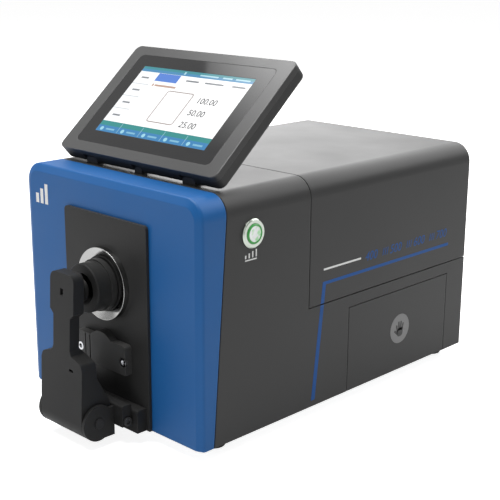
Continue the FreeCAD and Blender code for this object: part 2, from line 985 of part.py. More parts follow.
def bracket(ring_bolts):
    front = bracket_back() - s.bracket_gauge
    side = s.bracket_width / 2
    body = new_body("sphere_bracket")
    top = lamp_box_low() + s.lamp_box_height
    pad(
        body,
        "bracket_plate",
        "y",
        front,
        bracket_back(),
        rectangle(-side, base_top, side, port_level + s.flange_radius / 2),
    )
    tab = s.lamp_box_width / 2
    pad(body, "bracket_tab", "y", front, bracket_back(), rectangle(-tab, port_level, tab, top))
    pad(
        body,
        "bracket_foot",
        "z",
        base_top,
        base_top + s.bracket_gauge,
        rectangle(-side, front, side, bracket_back() + s.bracket_foot),
    )
    pocket(
        body,
        "bracket_hole",
        "y",
        front - 1,
        bracket_back() + 1,
        (0.0, port_level, s.sphere_radius + s.screw_gap),
    )
    bolts = [(x, z, s.screw_radius + s.screw_gap) for x, z in ring_bolts]
    pocket(body, "bracket_bolts", "y", front - 1, bracket_back() + 1, *bolts)
    keep("sphere_bracket", body)


def lamp():
    low = lamp_box_low()
    high = low + s.lamp_box_height
    side = s.lamp_box_width / 2
    front = bracket_back()
    back = front + s.lamp_box_length
    wall = s.lamp_box_wall
    centre = lamp_centre()
    blank = box("lamp_box", (-side, front, low), (side, back, high))
    neck = rod("lamp_neck", "z", s.lamp_neck_radius, (0.0, centre, port_level + 30), low - port_level - 30)
    shape = fuse("lamp_blank", blank, neck)
    cavity_low = (wall - side, front + wall, low + wall)
    cavity = box("lamp_cavity", cavity_low, (side - wall, back - wall, high - wall))
    bore = rod("lamp_bore", "z", s.lamp_port_radius, (0.0, centre, port_level), low + wall + 1 - port_level)
    seat = ball("lamp_seat", s.sphere_radius + s.screw_gap, (0.0, face + s.sphere_depth, port_level))
    keep("lamp_housing", cut("lamp_housing", shape, cavity, bore, seat))
    tube_half = s.lamp_length / 2
    cap = (s.lamp_box_width / 2 - wall) - tube_half
    profile = [
        (-tube_half - cap, 0.0),
        (-tube_half - cap, s.lamp_radius * 0.6),
        (-tube_half, s.lamp_radius * 0.6),
        (-tube_half, s.lamp_radius),
        (tube_half, s.lamp_radius),
        (tube_half, s.lamp_radius * 0.6),
        (tube_half + cap, s.lamp_radius * 0.6),
        (tube_half + cap, 0.0),
    ]
    keep("flash_lamp", turned("flash_lamp", "x", profile, (0.0, centre, low + s.lamp_box_height / 2)))


def capacitors():
    """Two storage capacitors that lie on the base plate beside the sphere."""
    x = half - s.cover_wall - s.flange_gauge - s.capacitor_radius - 2
    profile = [
        (0.0, 0.0),
        (0.0, s.capacitor_radius - 1),
        (2.0, s.capacitor_radius),
        (s.capacitor_length - 2, s.capacitor_radius),
        (s.capacitor_length, s.capacitor_radius - 1),
        (s.capacitor_length, 0.0),
    ]
    cans = []
    for k, sign in enumerate((-1, 1)):
        place = (x * sign, face + s.foot_front_depth + s.foot_radius + 3, base_top + s.capacitor_radius)
        cans.append(turned(f"capacitor_{k}", "y", profile, place))
    keep("flash_capacitors", group("flash_capacitors", cans))


def spectrometer():
    front = face + s.spectro_front
    back = front + s.spectro_length
    side = s.spectro_width / 2
    wall = s.spectro_wall
    top = port_level + s.spectro_rise
    body = new_body("spectrometer_case")
    pad(body, "spectro_block", "z", deck_top, top, rectangle(-side, front, side, back))
    pocket(
        body,
        "spectro_room",
        "z",
        deck_top,
        top - wall,
        rectangle(wall - side, front + wall, side - wall, back - wall),
    )
    mouth = (0.0, port_level, s.lens_barrel_radius + s.fit_gap)
    pocket(body, "spectro_mouth", "y", front - 1, front + wall + 1, mouth)
    keep("spectrometer_case", body)
    barrel_front = wall - s.lens_barrel_length
    room = s.lens_radius + s.fit_gap
    barrel = [
        (barrel_front, s.lens_radius - 1),
        (barrel_front, s.lens_barrel_radius),
        (-2.0, s.lens_barrel_radius),
        (-2.0, s.lens_barrel_radius + 3),
        (0.0, s.lens_barrel_radius + 3),
        (0.0, s.lens_barrel_radius),
        (wall, s.lens_barrel_radius),
        (wall, room),
        (barrel_front + 2, room),
        (barrel_front + 2, s.lens_radius - 1),
    ]
    keep("lens_barrel", turned("lens_barrel", "y", barrel, (0.0, front, port_level)))
    lens_start = barrel_front + 2
    lens = [
        (lens_start + 1, 0.0),
        (lens_start + 0.3, s.lens_radius * 0.5),
        (lens_start, s.lens_radius),
        (lens_start + s.lens_thickness * 0.5, s.lens_radius),
        (lens_start + s.lens_thickness * 0.85, s.lens_radius * 0.6),
        (lens_start + s.lens_thickness, 0.0),
    ]
    keep("receiving_lens", turned("receiving_lens", "y", lens, (0.0, front, port_level)))
    floor_level = deck_top
    reach = s.grating_size / 2
    stand_back = back - wall - s.grating_clear
    stand_front = stand_back - s.grating_stand_depth
    stand_top = floor_level + s.grating_stand_height
    stand = box("grating_stand", (-reach, stand_front, floor_level), (reach, stand_back, stand_top))
    plate_front = (stand_front + stand_back - s.grating_gauge) / 2
    plate = box(
        "grating_plate",
        (-reach, plate_front, stand_top),
        (reach, plate_front + s.grating_gauge, stand_top + s.grating_size),
    )
    keep("diffraction_grating", fuse("diffraction_grating", stand, plate))
    arm_reach = s.detector_length / 2
    gauge = s.detector_gauge
    array_x = side - wall - 2 * gauge
    board = box(
        "detector_board",
        (array_x, (front + back) / 2 - arm_reach, floor_level),
        (array_x + gauge, (front + back) / 2 + arm_reach, port_level + s.detector_rise),
    )
    chip_low = port_level - s.detector_chip_height / 2
    chip_high = port_level + s.detector_chip_height / 2
    chip = box(
        "detector_chip",
        (array_x - 1.5 * gauge, (front + back) / 2 - arm_reach * 0.7, chip_low),
        (array_x, (front + back) / 2 + arm_reach * 0.7, chip_high),
    )
    keep("detector_array", fuse("detector_array", board, chip))


def cell_holder():
    """A stand for sample cells between the exit window and the lens."""
    side = s.cell_holder_width / 2
    front = bulkhead_back + 6
    back = front + s.cell_holder_length
    foot = box("cell_foot", (-side, front, deck_top), (side, back, deck_top + 4))
    top = port_level + s.cell_window_radius + s.cell_holder_rim
    wall = s.cell_holder_wall
    cheeks = [
        box("cell_cheek_0", (-side, front, deck_top), (wall - side, back, top)),
        box("cell_cheek_1", (side - wall, front, deck_top), (side, back, top)),
    ]
    stop = box("cell_stop", (-side, back - 3, deck_top), (side, back, top))
    blank = fuse("cell_blank", foot, stop, *cheeks)
    window = rod("cell_window", "y", s.cell_window_radius, (0.0, back - margin, port_level), 2 * margin)
    keep("cell_holder", cut("cell_holder", blank, window))


def board_edges():
    """The main board's left, front, right and back edges."""
    left = s.flange_gauge - inner_half + 3
    front = bulkhead_back + 16
    right = half - s.cover_wall - s.tray_depth - s.latch_gap - s.latch_width - s.board_gap
    return left, front, right, front + s.board_length


def standoffs():
    """The studs pressed into the base plate under the main board's corners."""
    left, front, right, back = board_edges()
    inset = s.standoff_radius * 2
    corners = [(x, y) for x in (left + inset, right - inset) for y in (front + inset, back - inset)]
    return [
        rod(f"standoff_{k}", "z", s.standoff_radius, (x, y, base_top), s.standoff_height)
        for k, (x, y) in enumerate(corners)
    ]


def main_board():
    left, front, right, back = board_edges()
    level = base_top + s.standoff_height
    board = box("board_sheet", (left, front, level), (right, back, level + s.board_gauge))
    top = level + s.board_gauge
    wide = right - left
    chips = []
    for k, (x0, x1, y0, y1, rise) in enumerate(
        ((0.33, 0.63, 0.31, 0.45, 1.0), (0.22, 0.37, 0.61, 0.74, 1.3), (0.70, 0.91, 0.10, 0.22, 3.0))
    ):
        low = (left + wide * x0, front + s.board_length * y0, top)
        high = (left + wide * x1, front + s.board_length * y1, top + s.chip_height * rise)
        chips.append(box(f"board_chip_{k}", low, high))
    keep("main_board", fuse("main_board", board, *chips))


def sample_rest():
    front = plate_face - s.rest_depth
    side = s.rest_half_width
    low = floor + s.rest_low
    high = floor + s.rest_high
    body = new_body("rest_block")
    pad(body, "rest_slab", "y", front, plate_face, rectangle(-side, low, side, high))
    smooth(body, "rest_corners", 3.0, along_axis("y", [(-side, high), (side, high)]))
    lip_radius = (s.rest_lip_half * s.rest_lip_half / s.rest_lip_rise + s.rest_lip_rise) / 2
    lip_centre = high + s.rest_lip_rise - lip_radius
    lip_round = rod("rest_lip_round", "y", lip_radius, (0.0, front, lip_centre), s.rest_depth)
    lip_space = box(
        "rest_lip_space", (-side, front, high - 3), (side, plate_face, high + s.rest_lip_rise + 1)
    )
    lip = common("rest_lip", lip_round, lip_space)
    blank = fuse("rest_blank", body, lip)
    level = floor + s.rest_screw_height
    tools = []
    for k, sign in enumerate((-1, 1)):
        x = s.rest_screw_reach * sign
        tools.append(
            rod(
                f"rest_counterbore_{k}",
                "y",
                s.rest_counterbore_radius,
                (x, front - 1, level),
                s.rest_counterbore_depth + 1,
            )
        )
        tools.append(
            rod(f"rest_hole_{k}", "y", s.screw_radius + s.screw_gap, (x, front, level), s.rest_depth)
        )
    for k, x in enumerate((s.rest_slit_outer, s.rest_slit_inner)):
        tools.append(
            box(
                f"rest_slit_{k}",
                (-x - s.rest_slit_width / 2, front - 1, low + 3),
                (s.rest_slit_width / 2 - x, front + s.rest_slit_depth, high - 1),
            )
        )
    keep("sample_rest", cut("sample_rest", blank, *tools))
    seat = front + s.rest_counterbore_depth
    screws = [
        socket_screw(
            f"rest_screw_{k}",
            "y",
            (s.rest_screw_reach * sign, seat, level),
            -1,
            s.rest_counterbore_radius - 0.7,
            s.rest_counterbore_depth - 0.3,
            s.rest_depth - s.rest_counterbore_depth,
        )
        for k, sign in enumerate((-1, 1))
    ]
    return screws


def holder_mount():
    """The flange on the front plate, the hinge block, its cheeks and the side screws."""
    side = s.holder_base_half_width
    flange_front = plate_face - s.holder_base_depth
    flange = new_body("holder_base")
    pad(
        flange,
        "holder_base_slab",
        "y",
        flange_front,
        plate_face,
        rectangle(-side, floor, side, floor + s.holder_base_height),
    )
    top = floor + s.holder_base_height
    smooth(flange, "holder_base_round", 2.5, along_axis("x", [(flange_front, top)]))
    keep("holder_base", flange)
    block_front = flange_front - s.block_depth
    low = floor + s.block_low
    high = floor + s.block_high
    width = s.block_half_width
    block = new_body("hinge_block")
    pad(block, "hinge_block_slab", "y", block_front, flange_front, rectangle(-width, low, width, high))
    smooth(block, "hinge_block_round", 2.0, along_axis("x", [(block_front, high), (flange_front, high)]))
    screw_y = (block_front + flange_front) / 2
    screw_z = floor + s.side_screw_level
    for k, start in enumerate((-width - 1, width - s.side_screw_length)):
        pocket(
            block,
            f"hinge_block_bore_{k}",
            "x",
            start,
            start + s.side_screw_length + 1,
            (screw_y, screw_z, s.screw_radius + s.running_gap),
        )
    keep("hinge_block", block)
    cheeks = []
    heel_low = pivot_z - s.cheek_radius + 1
    heel_high = pivot_z + s.cheek_radius - s.cheek_heel * 0.66
    for k, sign in enumerate((-1, 1)):
        start = s.cheek_inner if sign > 0 else -s.cheek_inner - s.cheek_gauge
        end = start + s.cheek_gauge
        disc = rod(f"cheek_disc_{k}", "x", s.cheek_radius, (start, pivot_y, pivot_z), s.cheek_gauge)
        heel = box(f"cheek_heel_{k}", (start, pivot_y, heel_low), (end, block_front, heel_high))
        blank = fuse(f"cheek_blank_{k}", disc, heel)
        bore = rod(
            f"cheek_bore_{k}",
            "x",
            s.hinge_pin_radius + s.running_gap,
            (start - 1, pivot_y, pivot_z),
            s.cheek_gauge + 2,
        )
        behind = box(
            f"cheek_behind_{k}",
            (start - 1, block_front, pivot_z - s.cheek_radius - 1),
            (end + 1, plate_face, pivot_z + s.cheek_radius + 1),
        )
        cheeks.append(cut(f"cheek_{k}", blank, bore, behind))
    keep("hinge_cheeks", group("hinge_cheeks", cheeks))
    screws = [
        socket_screw(
            f"side_screw_{k}",
            "x",
            (width * sign, screw_y, screw_z),
            sign,
            s.side_screw_radius,
            s.side_screw_height,
            s.side_screw_length,
        )
        for k, sign in enumerate((-1, 1))
    ]
    return screws


def hinge_pin():
    reach = s.cheek_inner + s.cheek_gauge
    head = s.hinge_pin_radius + 1.6
    profile = [
        (-reach - 1.2, 0.0),
        (-reach - 1.2, head),
        (-reach, head),
        (-reach, s.hinge_pin_radius),
        (reach, s.hinge_pin_radius),
        (reach, head),
        (reach + 1.2, head),
        (reach + 1.2, 0.0),
    ]
    keep("hinge_pin", turned("hinge_pin", "x", profile, (0.0, pivot_y, pivot_z)))


def arm_front(level):
    """The arm's leaning front face: its depth at a height above the casing's lower edge."""
    rise = (level - s.pivot_height) / (s.arm_top - s.pivot_height)
    return pivot_y - s.boss_radius + s.arm_lean * rise


def holder_arm():
    top = floor + s.arm_top
    lobe_back = arm_front(s.arm_top) + s.lobe_thickness
    neck_back = arm_front(s.neck_low) + s.neck_thickness
    body_back = face - s.body_back_reach
    side_view = new_body("arm_side_view")
    profile = [
        (pivot_y - s.boss_radius, pivot_z),
        (arm_front(s.arm_top), top),
        (lobe_back, top),
        (arm_front(s.lobe_low) + s.lobe_thickness, floor + s.lobe_low),
        (arm_front(s.neck_high) + s.neck_thickness, floor + s.neck_high),
        (neck_back, floor + s.neck_low),
        (body_back, floor + s.arm_shoulder_high),
        (body_back, floor + s.heel_height),
        (pivot_y + s.boss_radius * 0.92, pivot_z + s.boss_radius),
        (pivot_y + s.boss_radius, pivot_z + s.boss_radius * 0.3),
        (pivot_y + s.boss_radius, pivot_z),
    ]
    wide = s.arm_half_width
    pad(side_view, "arm_side_slab", "x", -wide, wide, profile)
    boss = rod("arm_boss", "x", s.boss_radius, (-wide, pivot_y, pivot_z), 2 * wide)
    blank = fuse("arm_blank", side_view, boss)
    front_view = new_body("arm_front_view")
    low = pivot_z - s.boss_radius - 1
    right = [
        (wide, low),
        (wide, floor + s.arm_shoulder_low),
        (wide - 2, floor + s.arm_shoulder_high - s.arm_shoulder_slope),
        (s.neck_half_width + 2, floor + s.arm_shoulder_high),
        (s.neck_half_width, floor + s.neck_low),
        (s.neck_half_width, floor + s.neck_high),
        (s.lobe_half_width, floor + s.lobe_low),
        (s.lobe_half_width, top),
    ]
    left = [(-x, z) for x, z in reversed(right)]
    near = pivot_y - s.boss_radius - 1
    pad(front_view, "arm_front_slab", "y", near, face - 1, right + left)
    shoulder_spots = [(x, floor + s.arm_shoulder_high - s.arm_shoulder_slope) for x in (wide - 2, 2 - wide)]
    smooth(front_view, "arm_shoulder_round", s.arm_corner, along_axis("y", shoulder_spots))
    lobe_spots = [(x, top) for x in (-s.lobe_half_width, s.lobe_half_width)]
    smooth(front_view, "arm_lobe_round", s.lobe_corner, along_axis("y", lobe_spots))
    shape = common("arm_shape", blank, front_view)
    bay = s.spring_bay_half
    bore = rod(
        "arm_pin_bore", "x", s.hinge_pin_radius + s.running_gap, (-wide - 1, pivot_y, pivot_z), 2 * wide + 2
    )
    bay_round = rod("arm_bay_round", "x", s.spring_bay_radius, (-bay, pivot_y, pivot_z), 2 * bay)
    bay_block = box(
        "arm_bay_block",
        (-bay, pivot_y - s.spring_bay_radius, pivot_z - s.boss_radius - 1),
        (bay, face, pivot_z + s.spring_bay_radius),
    )
    stem_level = port_level
    stem = rod(
        "arm_stem_hole",
        "y",
        s.stem_radius + s.running_gap,
        (0.0, arm_front(s.port_height) + 4, stem_level),
        s.lobe_thickness,
    )
    eye = box(
        "arm_eye",
        (-2.0, arm_front(s.port_height) - 2, stem_level - 1),
        (2.0, arm_front(s.port_height) + 5, stem_level + 5),
    )
    slot = box(
        "arm_slot",
        (11.0, arm_front(s.rest_screw_height) - 2, floor + s.rest_screw_height - 1.2),
        (17.0, arm_front(s.rest_screw_height) + 2, floor + s.rest_screw_height + 1.2),
    )
    keep("holder_arm", cut("holder_arm", shape, bore, bay_round, bay_block, stem, eye, slot))


def press_pad():
    """The pad that holds the sample against the port, on a stem in the arm's head."""
    pad_front = face - s.barrel_reach - s.pad_gap
    pad_back = pad_front - s.pad_thickness
    centre = (0.0, pad_back, port_level)
    seat = arm_front(s.port_height) + 5 - pad_back
    profile = [
        (seat, 0.0),
        (seat, s.stem_radius),
        (0.0, s.stem_radius),
        (0.0, s.pad_radius - 1),
        (1.0, s.pad_radius),
        (s.pad_thickness - 1.5, s.pad_radius),
        (s.pad_thickness, s.pad_radius - 1.5),
        (s.pad_thickness, 0.0),
    ]
    keep("press_pad", turned("press_pad", "y", profile, centre))


def torsion_spring():
    """A close coil round the hinge pin, with a leg that lies against the hinge block."""
    wire = float(s.spring_wire)
    radius = float(s.spring_coil_radius)
    turns = float(s.spring_turns)
    pitch = 2 * wire + 0.15
    length = pitch * turns
    helix = Part.makeHelix(pitch, length, radius)
    start = helix.Edges[0].valueAt(helix.Edges[0].FirstParameter)
    lead = helix.Edges[0].tangentAt(helix.Edges[0].FirstParameter)
    section = Part.Wire([Part.makeCircle(wire, start, lead)])
    coil = Part.Wire(helix.Edges).makePipeShell([section], True, True)
    gap_to_block = float(s.pivot_reach - s.plate_thickness - s.holder_base_depth - s.block_depth)
    leg = Part.makeCylinder(wire, gap_to_block - float(s.fit_gap), V(radius, 0, 0), V(0, 1, 0))
    spring = coil.fuse(leg)
    coil_feature = doc.addObject("Part::Feature", "torsion_spring")
    coil_feature.Shape = spring
    # The coil is made upright, with its leg towards +Y from its +X side, and is laid along X, so
    # that the leg runs under the pin.
    coil_feature.Placement = FreeCAD.Placement(
        V(-length / 2, float(pivot_y), float(pivot_z)), FreeCAD.Rotation(V(0, 1, 0), 90)
    )
    keep("torsion_spring", coil_feature)


def display_place(up, into):
    """A point of the display's own section, as depth and height in the part's frame."""
    y = face + s.display_low_depth + cosine(s.display_tilt) * up + sine(s.display_tilt) * into
    z = roof + s.display_rise + sine(s.display_tilt) * up - cosine(s.display_tilt) * into
    return y, z


def on_display(body):
    """Leans a body that was drawn flat, with Y up the slope and Z out of the screen."""
    y, z = display_place(0.0, 0.0)
    return put(body, (0.0, y, z), FreeCAD.Rotation(V(1, 0, 0), float(s.display_tilt)))


def display_corners(body, name, low_corners=True):
    side = s.display_width / 2
    spots = [(-side, s.display_slope), (side, s.display_slope)]
    if low_corners:
        spots += [(-side, 0.0), (side, 0.0)]
    smooth(body, name, s.display_corner, along_axis("z", spots))


def display_notches():
    """The three bays in the display's lower edge for the hinge knuckles and the cable cover."""
    high = s.tilt_axis_up + s.tilt_knuckle_radius + s.tilt_side_gap
    bays = []
    for centre, reach in (
        (-s.tilt_reach, s.tilt_knuckle_half),
        (as_size(0.0), s.cable_cover_half),
        (s.tilt_reach, s.tilt_knuckle_half),
    ):
        wide = reach + s.tilt_side_gap
        bays.append(rectangle(centre - wide, -1.0, centre + wide, high))
    return bays


def display():
    side = s.display_width / 2
    outline = rectangle(-side, 0.0, side, s.display_slope)
    bezel = new_body("display_bezel")
    pad(bezel, "bezel_plate", "z", -s.display_bezel, 0.0, outline)
    display_corners(bezel, "bezel_corners")
    smooth(bezel, "bezel_edge", 0.8, on_plane("z", 0.0))
    glass_half = s.glass_width / 2
    screen_half = s.screen_width / 2
    seat = rectangle(
        -glass_half - s.fit_gap, s.glass_low - s.fit_gap, glass_half + s.fit_gap, s.glass_high + s.fit_gap
    )
    pocket(bezel, "bezel_seat", "z", -s.glass_gauge, 1.0, seat)
    smooth(bezel, "bezel_seat_corners", s.glass_corner + s.fit_gap, along_axis("z", seat))
    window = rectangle(-screen_half, s.screen_low, screen_half, s.screen_high)
    pocket(bezel, "bezel_window", "z", -s.display_bezel - 1, 0.0, window)
    keep("display_bezel", on_display(bezel))
    glass = new_body("display_glass")
    sheet = rectangle(-glass_half, s.glass_low, glass_half, s.glass_high)
    pad(glass, "glass_sheet", "z", -s.glass_gauge, 0.0, sheet)
    smooth(glass, "glass_corners", s.glass_corner, along_axis("z", sheet))
    keep("display_glass", on_display(glass))
    screen = new_body("display_panel")
    inset = s.fit_gap
    pad(
        screen,
        "panel_slab",
        "z",
        -s.glass_gauge - s.panel_gauge,
        -s.glass_gauge - s.fit_gap,
        rectangle(inset - screen_half, s.screen_low + inset, screen_half - inset, s.screen_high - inset),
    )
    keep("display_panel", on_display(screen))
    back = -s.display_thickness
    housing = new_body("display_housing")
    pad(housing, "housing_block", "z", back, -s.display_bezel, outline)
    display_corners(housing, "housing_corners")
    smooth(housing, "housing_round", s.display_back_round, on_plane("z", back))
    wall = s.display_wall
    room = s.display_back_round + wall
    pocket(
        housing,
        "housing_room",
        "z",
        back + wall,
        -s.display_bezel + 1,
        rectangle(room - side, s.display_solid_band, side - room, s.display_slope - room),
    )
    pocket(housing, "housing_bays", "z", back - 1, -s.display_bezel + 1, *display_notches())
    reach = s.tilt_reach + s.tilt_knuckle_half + s.tilt_pin_overrun
    for k, sign in enumerate((-1, 1)):
        start = s.tilt_reach * sign - s.tilt_knuckle_half - s.tilt_pin_overrun
        end = s.tilt_reach * sign + s.tilt_knuckle_half + s.tilt_pin_overrun
        pocket(
            housing,
            f"housing_pin_{k}",
            "x",
            start,
            end,
            (s.tilt_axis_up, -s.tilt_axis_in, s.tilt_pin_radius + s.running_gap),
        )
    keep("display_housing", on_display(housing))
    return tilt_hinges()


def knuckle_stand(name, centre, reach, with_pin):
    """A round knuckle on a web and a foot, standing on the casing's top."""
    axis_y, axis_z = display_place(s.tilt_axis_up, s.tilt_axis_in)
    low = centre - reach
    high = centre + reach
    knuckle = rod(name + "_knuckle", "x", s.tilt_knuckle_radius, (low, axis_y, axis_z), 2 * reach)
    web = box(name + "_web", (low, axis_y - s.tilt_web_half, roof), (high, axis_y + s.tilt_web_half, axis_z))
    foot = box(
        name + "_foot",
        (low, axis_y - s.tilt_web_half, roof),
        (high, axis_y + s.tilt_foot_length, roof + s.tilt_foot_gauge),
    )
    blank = fuse(name + "_blank", knuckle, web, foot)
    if not with_pin:
        return blank
    bore = rod(
        name + "_bore", "x", s.tilt_pin_radius + s.running_gap, (low - 1, axis_y, axis_z), 2 * reach + 2
    )
    return cut(name, blank, bore)


def tilt_hinges():
    axis_y, axis_z = display_place(s.tilt_axis_up, s.tilt_axis_in)
    stands = []
    pins = []
    for k, sign in enumerate((-1, 1)):
        centre = s.tilt_reach * sign
        stands.append(knuckle_stand(f"tilt_stand_{k}", centre, s.tilt_knuckle_half, True))
        reach = s.tilt_knuckle_half + s.tilt_pin_overrun - 0.5
        pins.append(rod(f"tilt_pin_{k}", "x", s.tilt_pin_radius, (centre - reach, axis_y, axis_z), 2 * reach))
    keep("display_hinges", group("display_hinges", stands))
    keep("cable_cover", knuckle_stand("cable_cover_stand", as_size(0.0), s.cable_cover_half, False))
    return pins


def hood_hinges():
    """Two hinges on the rear: a fixed leaf with two knuckles, a moving leaf with one, and a pin."""
    fixed = []
    moving = []
    pins = []
    gauge = s.hood_leaf_gauge
    leaf = s.hood_leaf_half
    middle = s.hood_middle_half
    clear = s.hood_leaf_clear
    radius = s.hood_barrel_radius
    bore = s.hood_pin_radius + s.running_gap
    for k, sign in enumerate((-1, 1)):
        x = s.hood_hinge_reach * sign
        outer = leaf - middle - s.hood_knuckle_gap
        pieces = [
            box(
                f"fixed_leaf_{k}",
                (x - leaf, rear, seam_level - s.hood_leaf_height),
                (x + leaf, rear + gauge, seam_level - clear),
            )
        ]
        for side, start in enumerate((x - leaf, x + middle + s.hood_knuckle_gap)):
            pieces.append(
                rod(f"fixed_knuckle_{k}_{side}", "x", radius, (start, hood_axis_y, seam_level), outer)
            )
            pieces.append(
                box(
                    f"fixed_web_{k}_{side}",
                    (start, rear + 0.2, seam_level - clear - 1),
                    (start + outer, hood_axis_y, seam_level - radius * 0.3),
                )
            )
        blank = fuse(f"fixed_hinge_blank_{k}", *pieces)
        drill = rod(f"fixed_hinge_bore_{k}", "x", bore, (x - leaf - 1, hood_axis_y, seam_level), 2 * leaf + 2)
        fixed.append(cut(f"fixed_hinge_{k}", blank, drill))
        moving_blank = fuse(
            f"moving_hinge_blank_{k}",
            box(
                f"moving_leaf_{k}",
                (x - leaf, rear, seam_level + clear),
                (x + leaf, rear + gauge, seam_level + s.hood_leaf_height),
            ),
            rod(f"moving_knuckle_{k}", "x", radius, (x - middle, hood_axis_y, seam_level), 2 * middle),
            box(
                f"moving_web_{k}",
                (x - middle, rear + 0.2, seam_level + radius * 0.3),
                (x + middle, hood_axis_y, seam_level + clear + 1),
            ),
        )
        moving_drill = rod(f"moving_bore_{k}", "x", bore, (x - leaf, hood_axis_y, seam_level), 2 * leaf)
        moving.append(cut(f"moving_hinge_{k}", moving_blank, moving_drill))
        pin_start = (x - leaf, hood_axis_y, seam_level)
        pins.append(rod(f"hood_pin_{k}", "x", s.hood_pin_radius, pin_start, 2 * leaf))
    keep("hood_hinge_fixed", group("hood_hinge_fixed", fixed))
    keep("hood_hinge_moving", group("hood_hinge_moving", moving))
    return pins


def drawer():
    start = drawer_start
    end = drawer_end
    gap = s.drawer_gap
    panel = new_body("drawer_front")
    panel_low = floor + s.fit_gap
    panel_high = floor + s.drawer_height - gap
    inner = half - s.cover_wall
    panel_outline = rectangle(start + gap, panel_low, end - gap, panel_high)
    pad(panel, "drawer_front_plate", "x", inner, half, panel_outline)
    keep("drawer_front", panel)
    tray_low = base_top + s.runner_height + s.runner_gap
    tray_high = tray_low + s.tray_height
    wall = s.tray_wall
    y0 = start + s.tray_margin
    y1 = end - s.tray_margin
    x0 = inner - s.tray_depth
    tray = new_body("drawer_tray")
    pad(tray, "tray_block", "z", tray_low, tray_high, rectangle(x0, y0, inner, y1))
    pocket(
        tray,
        "tray_room",
        "z",
        tray_low + wall,
        tray_high,
        rectangle(x0 + wall, y0 + wall, inner - wall, y1 - wall),
    )
    keep("drawer_tray", tray)
    runners = []
    runner_top = base_top + s.runner_height
    for k, y in enumerate((y0 + 2, y1 - 2 - s.runner_width)):
        runners.append(
            box(f"runner_{k}", (x0 + 4, y, base_top), (inner - 4, y + s.runner_width, runner_top))
        )
    keep("drawer_runners", group("drawer_runners", runners))
    middle = (y0 + y1) / 2
    latch_x = x0 - s.latch_gap
    latch = box(
        "drawer_latch",
        (latch_x - s.latch_width, middle - 7, base_top),
        (latch_x, middle + 7, tray_low + s.tray_height / 2),
    )
    keep("drawer_latch", latch)
    tray_floor = tray_low + wall
    tile_x = x0 + wall + s.tile_radius + 4
    tile_y = y0 + wall + s.tile_radius + 4
    radius = s.tile_radius
    tile = [
        (0.0, 0.0),
        (0.0, radius - 1),
        (1.0, radius),
        (s.tile_height - 1.5, radius),
        (s.tile_height, radius - 1.5),
        (s.tile_height, radius * 0.6),
        (s.tile_height - 1, radius * 0.6),
        (s.tile_height - 1, 0.0),
    ]
    keep("white_tile", turned("white_tile", "z", tile, (tile_x, tile_y, tray_floor)))
    trap_y = tile_y
    trap_x = inner - wall - s.trap_radius - 4
    trap = [
        (0.0, 0.0),
        (0.0, s.trap_radius),
        (s.trap_height, s.trap_radius),
        (s.trap_height, s.trap_radius * 0.62),
        (3.0, 0.0),
    ]
    keep("black_trap", turned("black_trap", "z", trap, (trap_x, trap_y, tray_floor)))


def test_button():
    centre = (half, face + s.button_depth, button_level)
    depth = -s.thread_length
    bezel = [
        (depth, s.bezel_bore),
        (depth, s.thread_radius),
        (0.0, s.thread_radius),
        (0.0, s.bezel_radius),
        (s.bezel_height - 1.1, s.bezel_radius),
        (s.bezel_height, s.bezel_radius - 1.1),
        (s.bezel_height, s.bezel_bore),
    ]
    keep("button_bezel", turned("button_bezel", "x", bezel, centre))
    seat = as_size(-4.0)
    ring = [
        (seat, s.button_ring_bore),
        (seat, s.button_ring_radius),
        (s.button_ring_height - 0.8, s.button_ring_radius),
        (s.button_ring_height, s.button_ring_radius - 0.8),
        (s.button_ring_height - 0.3, s.button_ring_bore),
    ]
    keep("button_ring", turned("button_ring", "x", ring, centre))
    plunger_end = depth + s.button_travel + s.running_gap
    cap = [
        (plunger_end, 0.0),
        (plunger_end, s.plunger_radius),
        (seat - 2, s.plunger_radius),
        (seat - 2, s.button_ring_radius),
        (seat, s.button_ring_radius),
        (seat, s.button_cap_radius),
        (s.button_cap_height, s.button_cap_radius),
        (s.button_cap_height - 0.5, s.button_cap_radius * 0.6),
        (s.button_cap_height - 0.7, 0.0),
    ]
    keep("button_cap", turned("button_cap", "x", cap, centre))
    collar = s.thread_radius + s.running_gap
    block = [
        (depth - s.switch_length, 0.0),
        (depth - s.switch_length, s.collar_radius - 3),
        (depth - s.switch_length / 2, s.collar_radius),
        (-s.cover_wall, s.collar_radius),
        (-s.cover_wall, collar),
        (depth, collar),
        (depth, 0.0),
    ]
    keep("switch_block", turned("switch_block", "x", block, centre))


